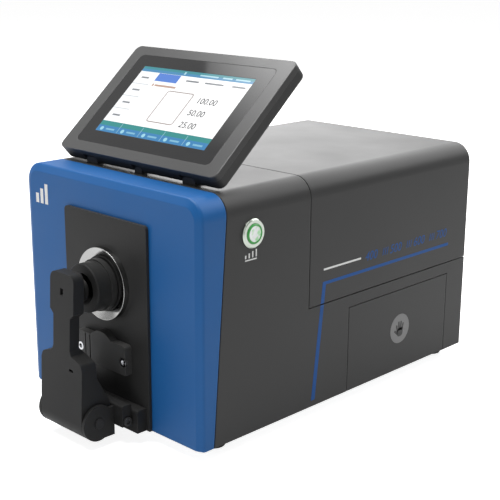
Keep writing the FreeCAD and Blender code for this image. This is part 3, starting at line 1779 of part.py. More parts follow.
def rear_fittings():
    level = floor + s.socket_height
    wall = s.cover_wall
    inlet = [
        (-12.0, 0.0),
        (-12.0, s.inlet_radius),
        (0.0, s.inlet_radius),
        (0.0, s.inlet_radius + 2),
        (1.5, s.inlet_radius + 2),
        (1.5, s.inlet_bore),
        (-9.0, s.inlet_bore),
        (-9.0, 1.0),
        (0.5, 1.0),
        (0.5, 0.0),
    ]
    keep("power_inlet", turned("power_inlet", "y", inlet, (-s.inlet_reach, rear, level)))
    usb_high = level + s.usb_height / 2
    usb_low = level - s.usb_height / 2
    usb_right = s.usb_width / 2 - s.usb_reach
    usb_left = -s.usb_width / 2 - s.usb_reach
    usb = new_body("usb_socket")
    pad(usb, "usb_shell", "y", rear - 16, rear + 0.8, rectangle(usb_left, usb_low, usb_right, usb_high))
    pocket(
        usb,
        "usb_room",
        "y",
        rear - 10,
        rear + 1,
        rectangle(usb_left + 1.5, usb_low + 1.3, usb_right - 1.5, usb_high - 1.3),
    )
    pad(
        usb,
        "usb_tongue",
        "y",
        rear - 10,
        rear - 1,
        rectangle(usb_left + 3.2, level + 0.6, usb_right - 3.2, usb_high - 2.6),
    )
    left = s.serial_reach - s.serial_width / 2
    right = s.serial_reach + s.serial_width / 2
    low = level - s.serial_height / 2
    high = level + s.serial_height / 2
    serial = new_body("serial_socket")
    pad(serial, "serial_body", "y", rear - 12, rear + 0.8, rectangle(left, low, right, high))
    taper = 1.6

    def tapered(side, edge):
        return [
            (left + side + taper, low + edge),
            (right - side - taper, low + edge),
            (right - side, high - edge),
            (left + side, high - edge),
        ]

    pad(serial, "serial_shell", "y", rear + 0.8, rear + 5, tapered(7, 2))
    pocket(serial, "serial_room", "y", rear - 1, rear + 6, tapered(8, 2.8))
    keep("data_sockets", group("data_sockets", [usb, serial]))
    power_switch()


def power_switch():
    level = floor + s.power_height
    x = -s.power_reach
    wide = s.power_frame_width / 2
    tall = s.power_frame_height / 2
    frame = new_body("power_switch_frame")
    flange_outline = rectangle(x - wide, level - tall, x + wide, level + tall)
    pad(frame, "switch_flange", "y", rear, rear + 1.6, flange_outline)
    pad(
        frame,
        "switch_box",
        "y",
        rear - 16,
        rear,
        rectangle(x - wide + 1, level - tall + 1, x + wide - 1, level + tall - 1),
    )
    room_wide = s.rocker_width / 2 + 0.4
    room_tall = s.rocker_height / 2 + 0.8
    pocket(
        frame,
        "switch_room",
        "y",
        rear - 11,
        rear + 2,
        rectangle(x - room_wide, level - room_tall, x + room_wide, level + room_tall),
    )
    keep("power_switch_frame", frame)
    rocker = new_body("power_rocker")
    rocker_half = s.rocker_width / 2
    swing = s.rocker_height / 2
    outline = [
        (-6.0, -3.0),
        (-2.0, -swing),
        (4.6, -swing),
        (3.0, 0.0),
        (4.6, swing),
        (-2.0, swing),
        (-6.0, 3.0),
    ]
    pad(rocker, "rocker_body", "x", -rocker_half, rocker_half, outline)
    put(rocker, (x, rear - 2, level), FreeCAD.Rotation(V(1, 0, 0), -float(s.rocker_tilt)))
    keep("power_rocker", rocker)


def check_and_write():
    """Every object has to be sound before anything is written."""
    doc.recompute()
    for thing in doc.Objects:
        if "Invalid" in thing.State or "Error" in thing.State:
            raise ValueError(f"{thing.Name} failed: {thing.State}")
    for name, piece in parts.items():
        if piece.Shape.isNull() or not piece.Shape.isValid() or not piece.Shape.Solids:
            raise ValueError(f"{name} has no sound shape")
    os.makedirs("parts", exist_ok=True)
    for name, piece in parts.items():
        piece.Shape.exportStep(os.path.join("parts", name + ".step"))


shell = casing_shell()
front_cover(shell)
main_cover(shell)
hood(shell)
base_plate()
feet()
bulkhead()
deck()
rear_panel()
front_plate()
port()
sphere()
lamp()
capacitors()
spectrometer()
cell_holder()
main_board()
keep("holder_screws", group("holder_screws", sample_rest() + holder_mount()))
hinge_pin()
holder_arm()
press_pad()
torsion_spring()
keep("cover_hinge_pins", group("cover_hinge_pins", display() + hood_hinges()))
drawer()
test_button()
rear_fittings()
check_and_write()
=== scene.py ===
import math

import bmesh
import bpy
import numpy as np
from mathutils import Matrix, Vector


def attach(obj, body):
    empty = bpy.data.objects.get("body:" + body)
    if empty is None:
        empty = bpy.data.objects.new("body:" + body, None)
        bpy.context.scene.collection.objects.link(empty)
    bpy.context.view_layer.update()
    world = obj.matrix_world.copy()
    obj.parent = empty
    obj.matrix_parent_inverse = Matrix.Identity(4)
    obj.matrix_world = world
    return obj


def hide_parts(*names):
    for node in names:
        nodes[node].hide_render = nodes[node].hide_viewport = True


# Benchtop spectrophotometer: finishes, printed marks, lit screen, camera and studio.
# Lengths are millimetres until a mesh is made, and metres after that.

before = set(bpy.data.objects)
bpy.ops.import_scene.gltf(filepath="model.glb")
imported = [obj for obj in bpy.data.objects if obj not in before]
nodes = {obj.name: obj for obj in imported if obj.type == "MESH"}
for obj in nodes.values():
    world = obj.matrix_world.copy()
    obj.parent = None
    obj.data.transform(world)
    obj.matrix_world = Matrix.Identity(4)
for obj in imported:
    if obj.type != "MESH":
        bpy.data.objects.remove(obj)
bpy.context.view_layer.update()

MM = 0.001

# The front cover's face, the casing's underside, half its width, the rear panel's face, and the port's axis
# where it leaves the front plate.
FACE = -165.3
BASE = 12.0
HALF = 120.0
REAR = 214.1
PORT = (0.0, -168.3, 136.5)

# A printed mark stands PROUD of its face, and its underside is at ROOT. One mark on another stands RAISED.
PROUD = 0.1
RAISED = 0.2
ROOT = -0.2

# The display leans back by TILT: the middle of its lower front edge, up its slope, and out of its face.
TILT = math.radians(41.2)
SCREEN_EDGE = (0.0, FACE + 29.2, BASE + 229.3)
SCREEN_UP = (0.0, math.cos(TILT), math.sin(TILT))
SCREEN_OUT = (0.0, -math.sin(TILT), math.cos(TILT))

# The lit picture's size, and its top edge up the display's slope.
PICTURE_WIDE = 147.5
PICTURE_HIGH = 82.5
PICTURE_TOP = 107.45

# How deep the picture's ground, fields, bands and words lie below the face of the glass.
GROUND = -0.16
FIELD = -0.13
BAND = -0.12
WORD = -0.1


# Camera and studio

def photo_camera():
    """A camera set back from its target along azimuth and elevation, and rolled about its line of sight."""
    azimuth, elevation, roll = np.radians((44.38, 15.56, 0.32))
    target = np.array((45.16, -32.45, 148.88)) * MM
    distance = 1.01408
    back = np.array(
        (
            math.sin(azimuth) * math.cos(elevation),
            -math.cos(azimuth) * math.cos(elevation),
            math.sin(elevation),
        )
    )
    side = np.cross(-back, (0.0, 0.0, 1.0))
    side /= np.linalg.norm(side)
    above = np.cross(side, -back)
    right = side * math.cos(roll) + above * math.sin(roll)
    up = above * math.cos(roll) - side * math.sin(roll)
    place = target + back * distance
    data = bpy.data.cameras.new("photo_camera")
    data.lens = 78.02
    data.sensor_width = 36.0
    data.clip_start = 0.05
    data.clip_end = 60.0
    camera = bpy.data.objects.new("photo_camera", data)
    turn = Matrix((right, up, back)).transposed().to_4x4()
    camera.matrix_world = Matrix.Translation(Vector(place)) @ turn
    bpy.context.scene.collection.objects.link(camera)
    bpy.context.scene.camera = camera


def soft_lamp(name, place, target, size, power):
    """A rectangular lamp turned to its target: lengths in metres, power in watts."""
    data = bpy.data.lights.new(name, "AREA")
    data.shape = "RECTANGLE"
    data.size, data.size_y = size
    data.energy = power
    lamp = bpy.data.objects.new(name, data)
    lamp.location = place
    lamp.rotation_euler = (Vector(target) - Vector(place)).to_track_quat("-Z", "Y").to_euler()
    bpy.context.scene.collection.objects.link(lamp)
    return lamp


def graded(lamp, across, deep=(0.0, 1.0, 1.0)):
    """Grades a lamp across its width and depth: each is (from share, to share, strength at the low end)."""
    lamp.data.use_nodes = True
    tree = lamp.data.node_tree
    spot = add(tree, "ShaderNodeNewGeometry").outputs["Parametric"]
    shares = add(tree, "ShaderNodeSeparateXYZ", {"Vector": spot}).outputs
    strengths = [
        map_range(tree, share, (start, end), (low, 1.0))
        for share, (start, end, low) in ((shares["X"], across), (shares["Y"], deep))
    ]
    tree.links.new(math_node(tree, "MULTIPLY", *strengths), tree.nodes["Emission"].inputs["Strength"])


def overhead_panel():
    """A level panel high on the left, which the display mirrors: dim at its left, brightest at the back."""
    low, high, height = (-1.354, -0.52), (-0.72, 0.42), 1.612
    size = (high[0] - low[0], high[1] - low[1])
    centre = ((low[0] + high[0]) / 2, (low[1] + high[1]) / 2, height)
    lamp = soft_lamp("overhead_panel", centre, (centre[0], centre[1], 0.0), size, 17)
    lamp.rotation_euler = (0.0, 0.0, 0.0)
    graded(lamp, (0.0, 0.36, 0.25), (0.25, 0.75, 0.0))


def studio_lamps():
    """A large lamp nearly overhead, weaker ones round the object, and the panel that the display mirrors."""
    soft_lamp("top_lamp", (-0.1, -0.6, 2.35), (0, 0, 0.15), (1.6, 1.2), 58)
    soft_lamp("side_lamp", (1.7, -0.9, 0.7), (0, 0, 0.12), (1.2, 1.2), 1.5)
    rear_lamp = soft_lamp("rear_lamp", (-1.39, 1.71, 0.95), (0, 0, 0.2), (1.1, 1.1), 14)
    graded(rear_lamp, (0.0, 1.0, 0.33))
    soft_lamp("front_lamp", (-1.47, -1.5, 0.85), (0, 0, 0.15), (1.2, 0.8), 4)
    soft_lamp("high_rear_lamp", (0.2, 1.6, 1.5), (0, 0, 0.2), (2.4, 1.4), 28)
    overhead_panel()


def mirrored_ray(tree, path):
    """1 for a ray that a mirroring or clear surface sends on, 0 for any other."""
    return math_node(tree, "MAXIMUM", path["Is Glossy Ray"], path["Is Transmission Ray"])


def studio_world():
    """White to the camera, softer in what mirrors and glass show, and a dim light on the object."""
    world = bpy.data.worlds.new("studio")
    world.use_nodes = True
    tree = world.node_tree
    tree.nodes.clear()
    in_mirrors, as_light = 0.65, 0.17
    path = add(tree, "ShaderNodeLightPath").outputs
    mirrored = math_node(tree, "MULTIPLY", mirrored_ray(tree, path), in_mirrors)
    strength = math_node(tree, "MAXIMUM", path["Is Camera Ray"], mirrored)
    strength = math_node(tree, "MAXIMUM", strength, as_light)
    light = add(tree, "ShaderNodeBackground", {"Strength": strength})
    out = add(tree, "ShaderNodeOutputWorld")
    tree.links.new(light.outputs[0], out.inputs["Surface"])
    bpy.context.scene.world = world


def studio_floor():
    """A round floor, a disc of rings and spokes: white to the camera, with the object's faint shadow."""
    ring = np.array((0.0, 0.4, 0.8, 1.6, 3.2, 8.0, 20.0))
    turn = np.linspace(0, 2 * np.pi, 65)[:-1]
    grid = np.zeros((len(ring), len(turn), 3))
    grid[..., 0] = ring[:, None] * np.cos(turn)
    grid[..., 1] = ring[:, None] * np.sin(turn)
    floor = skin("studio_floor", grid[::-1] / MM, closed_v=True)
    material, tree, shader = new_material("studio_floor")
    shader.inputs["Base Color"].default_value = tone(226, 226, 226)
    shader.inputs["Roughness"].default_value = 0.9
    shader.inputs["Specular IOR Level"].default_value = 0.1
    shader.inputs["Emission Color"].default_value = (1.0, 1.0, 1.0, 1.0)
    path = add(tree, "ShaderNodeLightPath").outputs
    plain = math_node(tree, "MULTIPLY", path["Is Camera Ray"], 0.86)
    mirrored = math_node(tree, "MULTIPLY", mirrored_ray(tree, path), 0.25)
    tree.links.new(math_node(tree, "MAXIMUM", plain, mirrored), shader.inputs["Emission Strength"])
    floor.data.materials.append(material)


# Nodes of materials

def tone(red, green, blue):
    """A colour written as on a screen, turned into light."""
    value = np.array((red, green, blue)) / 255
    linear = np.where(value <= 0.04045, value / 12.92, ((value + 0.055) / 1.055) ** 2.4)
    return (*linear.tolist(), 1.0)


def darker(colour, share):
    """A colour with its light cut to a share of itself."""
    return tuple(c * share for c in colour[:3]) + (1.0,)


def add(tree, kind, inputs=None, **settings):
    """A new node, with each input linked to a socket or set to a value."""
    node = tree.nodes.new(kind)
    for name, value in settings.items():
        setattr(node, name, value)
    for name, value in (inputs or {}).items():
        if isinstance(value, bpy.types.NodeSocket):
            tree.links.new(value, node.inputs[name])
        else:
            node.inputs[name].default_value = value
    return node


def math_node(tree, operation, first, second=None, clamp=False):
    node = add(tree, "ShaderNodeMath", operation=operation, use_clamp=clamp)
    for socket, value in zip(node.inputs, (first, second)):
        if isinstance(value, bpy.types.NodeSocket):
            tree.links.new(value, socket)
        elif value is not None:
            socket.default_value = value
    return node.outputs[0]


def map_range(tree, value, given=(0.0, 1.0), wanted=(0.0, 1.0)):
    """A value carried in a straight line from one range to another, and kept inside it."""
    reach = {"From Min": given[0], "From Max": given[1], "To Min": wanted[0], "To Max": wanted[1]}
    return add(tree, "ShaderNodeMapRange", {"Value": value, **reach}).outputs["Result"]


def mix(tree, share, first, second):
    """The first colour at a share of 0, the second at 1."""
    node = add(tree, "ShaderNodeMix", data_type="RGBA")
    for socket, value in ((node.inputs[0], share), (node.inputs[6], first), (node.inputs[7], second)):
        if isinstance(value, bpy.types.NodeSocket):
            tree.links.new(value, socket)
        else:
            socket.default_value = value
    return node.outputs[2]


def new_group(name, inputs, outputs):
    """An effect that several materials share, with its own named sockets."""
    tree = bpy.data.node_groups.new(name, "ShaderNodeTree")
    for title, kind, value in inputs:
        socket = tree.interface.new_socket(title, in_out="INPUT", socket_type="NodeSocket" + kind)
        if value is not None:
            socket.default_value = value
    for title, kind in outputs:
        tree.interface.new_socket(title, in_out="OUTPUT", socket_type="NodeSocket" + kind)
    return tree, tree.nodes.new("NodeGroupInput").outputs, tree.nodes.new("NodeGroupOutput").inputs


def grain_group():
    """Fine moulded or sprayed grain, with a slow change of tone over the piece."""
    tree, given, out = new_group(
        "grain",
        [("Colour", "Color", (0.5, 0.5, 0.5, 1)), ("Scale", "Float", 900.0), ("Mottle", "Float", 0.1),
         ("Smooth", "Float", 0.3), ("Rough", "Float", 0.5)],
        [("Colour", "Color"), ("Roughness", "Float"), ("Height", "Float")],
    )
    place = add(tree, "ShaderNodeTexCoord").outputs["Object"]
    fine = add(tree, "ShaderNodeTexNoise", {"Vector": place, "Scale": given["Scale"], "Detail": 2.0})
    cells = add(tree, "ShaderNodeTexVoronoi", {"Vector": place, "Scale": given["Scale"]})
    slow = add(tree, "ShaderNodeTexNoise", {"Vector": place, "Scale": 14.0, "Detail": 3.0})
    height = math_node(tree, "MULTIPLY", fine.outputs["Fac"], cells.outputs["Distance"])
    tree.links.new(height, out["Height"])
    shade = math_node(tree, "SUBTRACT", slow.outputs["Fac"], 0.5)
    shade = math_node(tree, "MULTIPLY", shade, given["Mottle"])
    speck = math_node(tree, "SUBTRACT", fine.outputs["Fac"], 0.5)
    speck = math_node(tree, "MULTIPLY", speck, given["Mottle"])
    value = math_node(tree, "ADD", math_node(tree, "ADD", shade, speck), 1.0)
    tinted = add(tree, "ShaderNodeHueSaturation", {"Color": given["Colour"], "Value": value})
    tree.links.new(tinted.outputs["Color"], out["Colour"])
    roughness = map_range(tree, slow.outputs["Fac"], (0.3, 0.7), (given["Smooth"], given["Rough"]))
    tree.links.new(roughness, out["Roughness"])
    return tree


def edge_group():
    """Where the surface turns sharply: a rounded normal, and a worn patch broken up by noise."""
    tree, given, out = new_group(
        "edge_wear",
        [("Radius", "Float", 0.0006), ("Amount", "Float", 0.5)],
        [("Mask", "Float"), ("Normal", "Vector")],
    )
    round_edge = add(tree, "ShaderNodeBevel", {"Radius": given["Radius"]}, samples=6)
    plain = add(tree, "ShaderNodeNewGeometry").outputs["Normal"]
    same = add(tree, "ShaderNodeVectorMath", {0: round_edge.outputs[0], 1: plain}, operation="DOT_PRODUCT")
    turned = math_node(tree, "SUBTRACT", 1.0, same.outputs["Value"])
    edge = map_range(tree, turned, (0.02, 0.22))
    place = add(tree, "ShaderNodeTexCoord").outputs["Object"]
    patches = add(tree, "ShaderNodeTexNoise", {"Vector": place, "Scale": 160.0, "Detail": 4.0})
    mask = math_node(tree, "MULTIPLY", edge, map_range(tree, patches.outputs["Fac"], (0.35, 0.75)))
    tree.links.new(math_node(tree, "MULTIPLY", mask, given["Amount"], clamp=True), out["Mask"])
    tree.links.new(round_edge.outputs[0], out["Normal"])
    return tree


def dust_group():
    """A thin film that settles on faces that look up."""
    tree, given, out = new_group("dust", [("Amount", "Float", 0.2)], [("Mask", "Float")])
    geometry = add(tree, "ShaderNodeNewGeometry")
    tilt = add(tree, "ShaderNodeSeparateXYZ", {"Vector": geometry.outputs["Normal"]}).outputs["Z"]
    up = map_range(tree, tilt, (0.5, 1.0))
    place = add(tree, "ShaderNodeTexCoord").outputs["Object"]
    cloud = add(tree, "ShaderNodeTexNoise", {"Vector": place, "Scale": 30.0, "Detail": 6.0})
    speck = add(tree, "ShaderNodeTexNoise", {"Vector": place, "Scale": 700.0, "Detail": 1.0})
    both = math_node(tree, "MULTIPLY", cloud.outputs["Fac"], speck.outputs["Fac"])
    film = math_node(tree, "MULTIPLY", both, up)
    tree.links.new(math_node(tree, "MULTIPLY", film, given["Amount"]), out["Mask"])
    return tree


def turned_group():
    """Fine lathe rings: waves of the distance from the origin of the place that is handed in."""
    tree, given, out = new_group(
        "turned_rings",
        [("Place", "Vector", None), ("Pitch", "Float", 0.0004)],
        [("Height", "Float"), ("Tone", "Float")],
    )
    radius = add(tree, "ShaderNodeVectorMath", {0: given["Place"]}, operation="LENGTH").outputs["Value"]
    phase = math_node(tree, "DIVIDE", radius, given["Pitch"])
    ring = math_node(tree, "SINE", math_node(tree, "MULTIPLY", phase, 2 * math.pi))
    tree.links.new(math_node(tree, "MULTIPLY", ring, 0.5), out["Height"])
    slowed = math_node(tree, "MULTIPLY", phase, 0.7)
    bands = add(tree, "ShaderNodeTexNoise", {"W": slowed}, noise_dimensions="1D")
    tree.links.new(bands.outputs["Fac"], out["Tone"])
    return tree


def brushed_group():
    """Long fine scratches along one axis: noise on a place stretched along that axis."""
    tree, given, out = new_group(
        "brushed", [("Stretch", "Vector", (1.0, 1.0, 1.0))], [("Height", "Float"), ("Tone", "Float")]
    )
    place = add(tree, "ShaderNodeTexCoord").outputs["Object"]
    long = add(tree, "ShaderNodeVectorMath", {0: place, 1: given["Stretch"]}, operation="MULTIPLY")
    lines = add(tree, "ShaderNodeTexNoise", {"Vector": long.outputs[0], "Scale": 100.0, "Detail": 4.0})
    tree.links.new(lines.outputs["Fac"], out["Height"])
    wide = add(tree, "ShaderNodeTexNoise", {"Vector": long.outputs[0], "Scale": 20.0, "Detail": 2.0})
    tree.links.new(wide.outputs["Fac"], out["Tone"])
    return tree


GRAIN = grain_group()
EDGE = edge_group()
DUST = dust_group()
TURNED = turned_group()
BRUSHED = brushed_group()


def grouped(tree, group, inputs):
    """A shared effect placed in a material."""
    node = tree.nodes.new("ShaderNodeGroup")
    node.node_tree = group
    for name, value in inputs.items():
        if isinstance(value, bpy.types.NodeSocket):
            tree.links.new(value, node.inputs[name])
        else:
            node.inputs[name].default_value = value
    return node


def grain(tree, colour, scale, mottle, smooth, rough):
    """The grain's outputs for one finish."""
    given = {"Colour": colour, "Scale": scale, "Mottle": mottle, "Smooth": smooth, "Rough": rough}
    return grouped(tree, GRAIN, given).outputs


def edge_wear(tree, radius, amount):
    """The worn edge's outputs for one finish."""
    return grouped(tree, EDGE, {"Radius": radius, "Amount": amount}).outputs


def new_material(name):
    material = bpy.data.materials.new(name)
    material.use_nodes = True
    tree = material.node_tree
    return material, tree, tree.nodes["Principled BSDF"]


def bump(tree, shader, height, depth, normal=None):
    """Height in metres, laid over the rounded normal where there is one."""
    node = add(tree, "ShaderNodeBump", {"Height": height, "Distance": depth, "Strength": 1.0})
    if normal is not None:
        tree.links.new(normal, node.inputs["Normal"])
    tree.links.new(node.outputs["Normal"], shader.inputs["Normal"])


def past(tree, point, direction, low, high):
    """A mask by place: 0 up to `low` millimetres past a point along a direction, 1 from `high` on."""
    place = add(tree, "ShaderNodeTexCoord").outputs["Object"]
    moved = add(tree, "ShaderNodeVectorMath", {0: place, 1: [c * MM for c in point]}, operation="SUBTRACT")
    along = add(tree, "ShaderNodeVectorMath", {0: moved.outputs[0], 1: direction}, operation="DOT_PRODUCT")
    return map_range(tree, along.outputs["Value"], (low * MM, high * MM))


def coated(name, colour, worn, smooth, rough, scale=900.0, depth=0.00001, mottle=0.1, wear=0.3,
           dust=0.15, radius=0.0006, specular=0.5, coat=0.0):
    """A grained finish: grain sets colour, roughness and bump, edges are worn, and dust lies on top."""
    material, tree, shader = new_material(name)
    surface = grain(tree, colour, scale, mottle, smooth, rough)
    edge = edge_wear(tree, radius, wear)
    film = grouped(tree, DUST, {"Amount": dust}).outputs
    shade = mix(tree, edge["Mask"], surface["Colour"], worn)
    shade = mix(tree, film["Mask"], shade, tone(190, 188, 182))
    tree.links.new(shade, shader.inputs["Base Color"])
    tree.links.new(surface["Roughness"], shader.inputs["Roughness"])
    shader.inputs["Specular IOR Level"].default_value = specular
    shader.inputs["Coat Weight"].default_value = coat
    bump(tree, shader, surface["Height"], depth, edge["Normal"])
    return material


def brushed_metal(name, colour, worn, smooth, rough, stretch):
    """Bare metal with a direction: fine scratches change its roughness, tone and normal."""
    material, tree, shader = new_material(name)
    lines = grouped(tree, BRUSHED, {"Stretch": stretch}).outputs
    edge = edge_wear(tree, 0.0004, 0.4)
    shade = mix(tree, lines["Tone"], darker(colour, 0.72), colour)
    tree.links.new(mix(tree, edge["Mask"], shade, worn), shader.inputs["Base Color"])
    tree.links.new(map_range(tree, lines["Height"], wanted=(smooth, rough)), shader.inputs["Roughness"])
    shader.inputs["Metallic"].default_value = 1.0
    bump(tree, shader, lines["Height"], 0.000004, edge["Normal"])
    return material


def turned_metal(name, colour, centre, keep, smooth, rough):
    """Metal off the lathe: rings about a centre, with keep masking out the axis they run along."""
    material, tree, shader = new_material(name)
    place = add(tree, "ShaderNodeTexCoord").outputs["Object"]
    moved = add(tree, "ShaderNodeVectorMath", {0: place, 1: [c * MM for c in centre]}, operation="SUBTRACT")
    flat = add(tree, "ShaderNodeVectorMath", {0: moved.outputs[0], 1: keep}, operation="MULTIPLY")
    rings = grouped(tree, TURNED, {"Place": flat.outputs[0], "Pitch": 0.0005}).outputs
    edge = edge_wear(tree, 0.0003, 0.4)
    pale = tuple(min(1.0, c * 1.25 + 0.05) for c in colour[:3]) + (1.0,)
    shade = mix(tree, rings["Tone"], darker(colour, 0.7), colour)
    tree.links.new(mix(tree, edge["Mask"], shade, pale), shader.inputs["Base Color"])
    tree.links.new(map_range(tree, rings["Tone"], wanted=(smooth, rough)), shader.inputs["Roughness"])
    shader.inputs["Metallic"].default_value = 1.0
    bump(tree, shader, rings["Height"], 0.000004, edge["Normal"])
    return material


# Finishes of the object

def blue_cover():
    return coated(
        "blue_cover", tone(18, 90, 154), tone(70, 124, 180), 0.4, 0.5, 1100.0, mottle=0.04,
        dust=0.04, radius=0.0012, specular=0.32,
    )


def dark_shell():
    return coated(
        "dark_shell", tone(61, 61, 61), tone(100, 100, 98), 0.34, 0.4, 1200.0, mottle=0.04,
        wear=0.25, dust=0.04, radius=0.0012, specular=0.2,
    )


def black_plate():
    return coated("black_plate", tone(42, 42, 42), tone(76, 76, 76), 0.42, 0.55, 1400.0, specular=0.2)


def black_plastic():
    return coated("black_plastic", tone(42, 42, 43), tone(80, 80, 80), 0.4, 0.55, 1500.0, specular=0.25)


# A lighter copy of the black plastic for the sample rest. Its base tone is painted light, because the rest
# sits in the shade of the barrel and arm. Its lighter edge tone is partly edge wear and partly a painted edge
# highlight.
def rest_plastic_painted_lighter():
    return coated("rest_plastic_painted_lighter", tone(56, 56, 56), tone(92, 92, 92), 0.4, 0.55, 1500.0, specular=0.25)


def black_anodised():
    return coated(
        "black_anodised", tone(40, 40, 40), tone(92, 92, 93), 0.36, 0.48, 2200.0, 0.000004,
        wear=0.5, dust=0.05, specular=0.13, radius=0.0007,
    )


def grey_bezel():
    """Smooth grey on the display's face, and the housing's dark grain from just behind its front edge."""
    material, tree, shader = new_material("grey_bezel")
    face = grain(tree, tone(80, 80, 80), 2400.0, 0.06, 0.18, 0.26)
    sides = grain(tree, tone(50, 50, 50), 1100.0, 0.12, 0.42, 0.52)
    edge = edge_wear(tree, 0.0005, 0.2)
    front = past(tree, SCREEN_EDGE, SCREEN_OUT, -0.9, -0.6)
    shade = mix(tree, front, sides["Colour"], face["Colour"])
    tree.links.new(mix(tree, edge["Mask"], shade, tone(120, 120, 120)), shader.inputs["Base Color"])
    gloss = map_range(tree, front, wanted=(sides["Roughness"], face["Roughness"]))
    tree.links.new(gloss, shader.inputs["Roughness"])
    shader.inputs["Specular IOR Level"].default_value = 0.45
    rough_side = math_node(tree, "MULTIPLY", sides["Height"], math_node(tree, "SUBTRACT", 1.0, front))
    bump(tree, shader, rough_side, 0.00001, edge["Normal"])
    return material


def display_back():
    return coated("display_back", tone(50, 50, 50), tone(84, 84, 84), 0.4, 0.5, 1100.0, specular=0.3)


def tray_plastic():
    return coated("tray_plastic", tone(58, 60, 62), tone(96, 98, 100), 0.4, 0.55, 900.0)


def rubber():
    return coated(
        "rubber", tone(30, 30, 30), tone(58, 58, 56), 0.75, 0.9, 700.0, 0.00003,
        wear=0.2, dust=0.3, specular=0.2,
    )


def board_green():
    return coated("board_green", tone(24, 92, 58), tone(150, 130, 70), 0.25, 0.4, 300.0, 0.00003, mottle=0.5)


def capacitor_sleeve():
    return coated(
        "capacitor_sleeve", tone(36, 40, 86), tone(90, 94, 130), 0.2, 0.35, 400.0, mottle=0.2, coat=0.4
    )


def white_ceramic():
    return coated(
        "white_ceramic", tone(236, 235, 230), tone(214, 212, 206), 0.1, 0.2, 260.0, 0.000004,
        mottle=0.04, coat=0.6,
    )


def button_green():
    """A clear green ring with a lamp behind it, so that it glows a little."""
    material = coated(
        "button_green", tone(40, 136, 56), tone(110, 190, 120), 0.25, 0.4, 900.0, mottle=0.15, coat=0.3
    )
    shader = material.node_tree.nodes["Principled BSDF"]
    shader.inputs["Emission Color"].default_value = tone(40, 170, 50)
    shader.inputs["Emission Strength"].default_value = 0.16
    return material


def button_cap():
    """Milky clear plastic over a lamp: white and green in soft patches, glowing faintly."""
    material, tree, shader = new_material("button_cap")
    milk = grain(tree, tone(226, 230, 228), 500.0, 0.1, 0.16, 0.3)
    edge = edge_wear(tree, 0.0005, 0.3)
    place = add(tree, "ShaderNodeTexCoord").outputs["Object"]
    patches = add(tree, "ShaderNodeTexNoise", {"Vector": place, "Scale": 210.0, "Detail": 2.0}).outputs["Fac"]
    shade = mix(tree, map_range(tree, patches, (0.42, 0.62)), milk["Colour"], tone(150, 214, 152))
    shade = mix(tree, edge["Mask"], shade, tone(240, 244, 240))
    tree.links.new(shade, shader.inputs["Base Color"])
    tree.links.new(shade, shader.inputs["Emission Color"])
    shader.inputs["Emission Strength"].default_value = 0.22
    tree.links.new(milk["Roughness"], shader.inputs["Roughness"])
    shader.inputs["Coat Weight"].default_value = 0.5
    bump(tree, shader, milk["Height"], 0.000004, edge["Normal"])
    return material


def quartz():
    """Clear glass with a faintly uneven polish."""
    material, tree, shader = new_material("quartz")
    polish = grain(tree, tone(232, 238, 242), 120.0, 0.06, 0.02, 0.08)
    tree.links.new(polish["Colour"], shader.inputs["Base Color"])
    tree.links.new(polish["Roughness"], shader.inputs["Roughness"])
    shader.inputs["Transmission Weight"].default_value = 0.9
    shader.inputs["IOR"].default_value = 1.46
    return material


def zinc_sheet():
    """Zinc plated sheet, with the plating's large flakes."""
    material, tree, shader = new_material("zinc_sheet")
    place = add(tree, "ShaderNodeTexCoord").outputs["Object"]
    flakes = add(tree, "ShaderNodeTexVoronoi", {"Vector": place, "Scale": 160.0})
    plating = grain(tree, tone(178, 180, 182), 700.0, 0.2, 0.25, 0.42)
    edge = edge_wear(tree, 0.0005, 0.5)
    share = math_node(tree, "MULTIPLY", flakes.outputs["Distance"], 0.6)
    shade = mix(tree, share, plating["Colour"], tone(120, 124, 128))
    tree.links.new(mix(tree, edge["Mask"], shade, tone(210, 210, 208)), shader.inputs["Base Color"])
    tree.links.new(plating["Roughness"], shader.inputs["Roughness"])
    shader.inputs["Metallic"].default_value = 0.9
    bump(tree, shader, plating["Height"], 0.000005, edge["Normal"])
    return material


def steel():
    return brushed_metal("steel", tone(176, 176, 174), tone(220, 220, 218), 0.22, 0.38, (1.0, 12.0, 12.0))


def aluminium():
    return brushed_metal("aluminium", tone(196, 198, 200), tone(226, 226, 226), 0.3, 0.5, (8.0, 8.0, 1.0))


def spring_steel():
    return brushed_metal("spring_steel", tone(150, 150, 152), tone(200, 200, 200), 0.15, 0.3, (1.0, 9.0, 9.0))


def blackened_steel():
    return coated(
        "blackened_steel", tone(38, 38, 39), tone(84, 84, 86), 0.34, 0.46, 1800.0, 0.000003,
        wear=0.5, specular=0.16,
    )


def chrome():
    """Bright screws on the sample rest, and blackened ones low down at the arm's hinge."""
    material, tree, shader = new_material("chrome")
    bright = past(tree, (0.0, 0.0, 40.0), (0.0, 0.0, 1.0), -1.0, 1.0)
    lines = grouped(tree, BRUSHED, {"Stretch": (6.0, 6.0, 6.0)}).outputs
    black = grain(tree, tone(44, 44, 45), 1800.0, 0.1, 0.3, 0.4)
    edge = edge_wear(tree, 0.0003, 0.4)
    plated = mix(tree, lines["Tone"], tone(190, 191, 194), tone(226, 227, 230))
    shade = mix(tree, bright, black["Colour"], plated)
    tree.links.new(mix(tree, edge["Mask"], shade, tone(150, 150, 152)), shader.inputs["Base Color"])
    polish = map_range(tree, lines["Height"], wanted=(0.06, 0.16))
    roughness = map_range(tree, bright, wanted=(black["Roughness"], polish))
    tree.links.new(roughness, shader.inputs["Roughness"])
    tree.links.new(bright, shader.inputs["Metallic"])
    bump(tree, shader, lines["Height"], 0.000002, edge["Normal"])
    return material


def ring_metal():
    return turned_metal("turned_metal", tone(186, 186, 185), PORT, (1.0, 0.0, 1.0), 0.1, 0.22)


def button_metal():
    return turned_metal(
        "button_metal", tone(204, 212, 202), (0.0, FACE + 59.5, BASE + 180.5), (0.0, 1.0, 1.0), 0.16, 0.3
    )


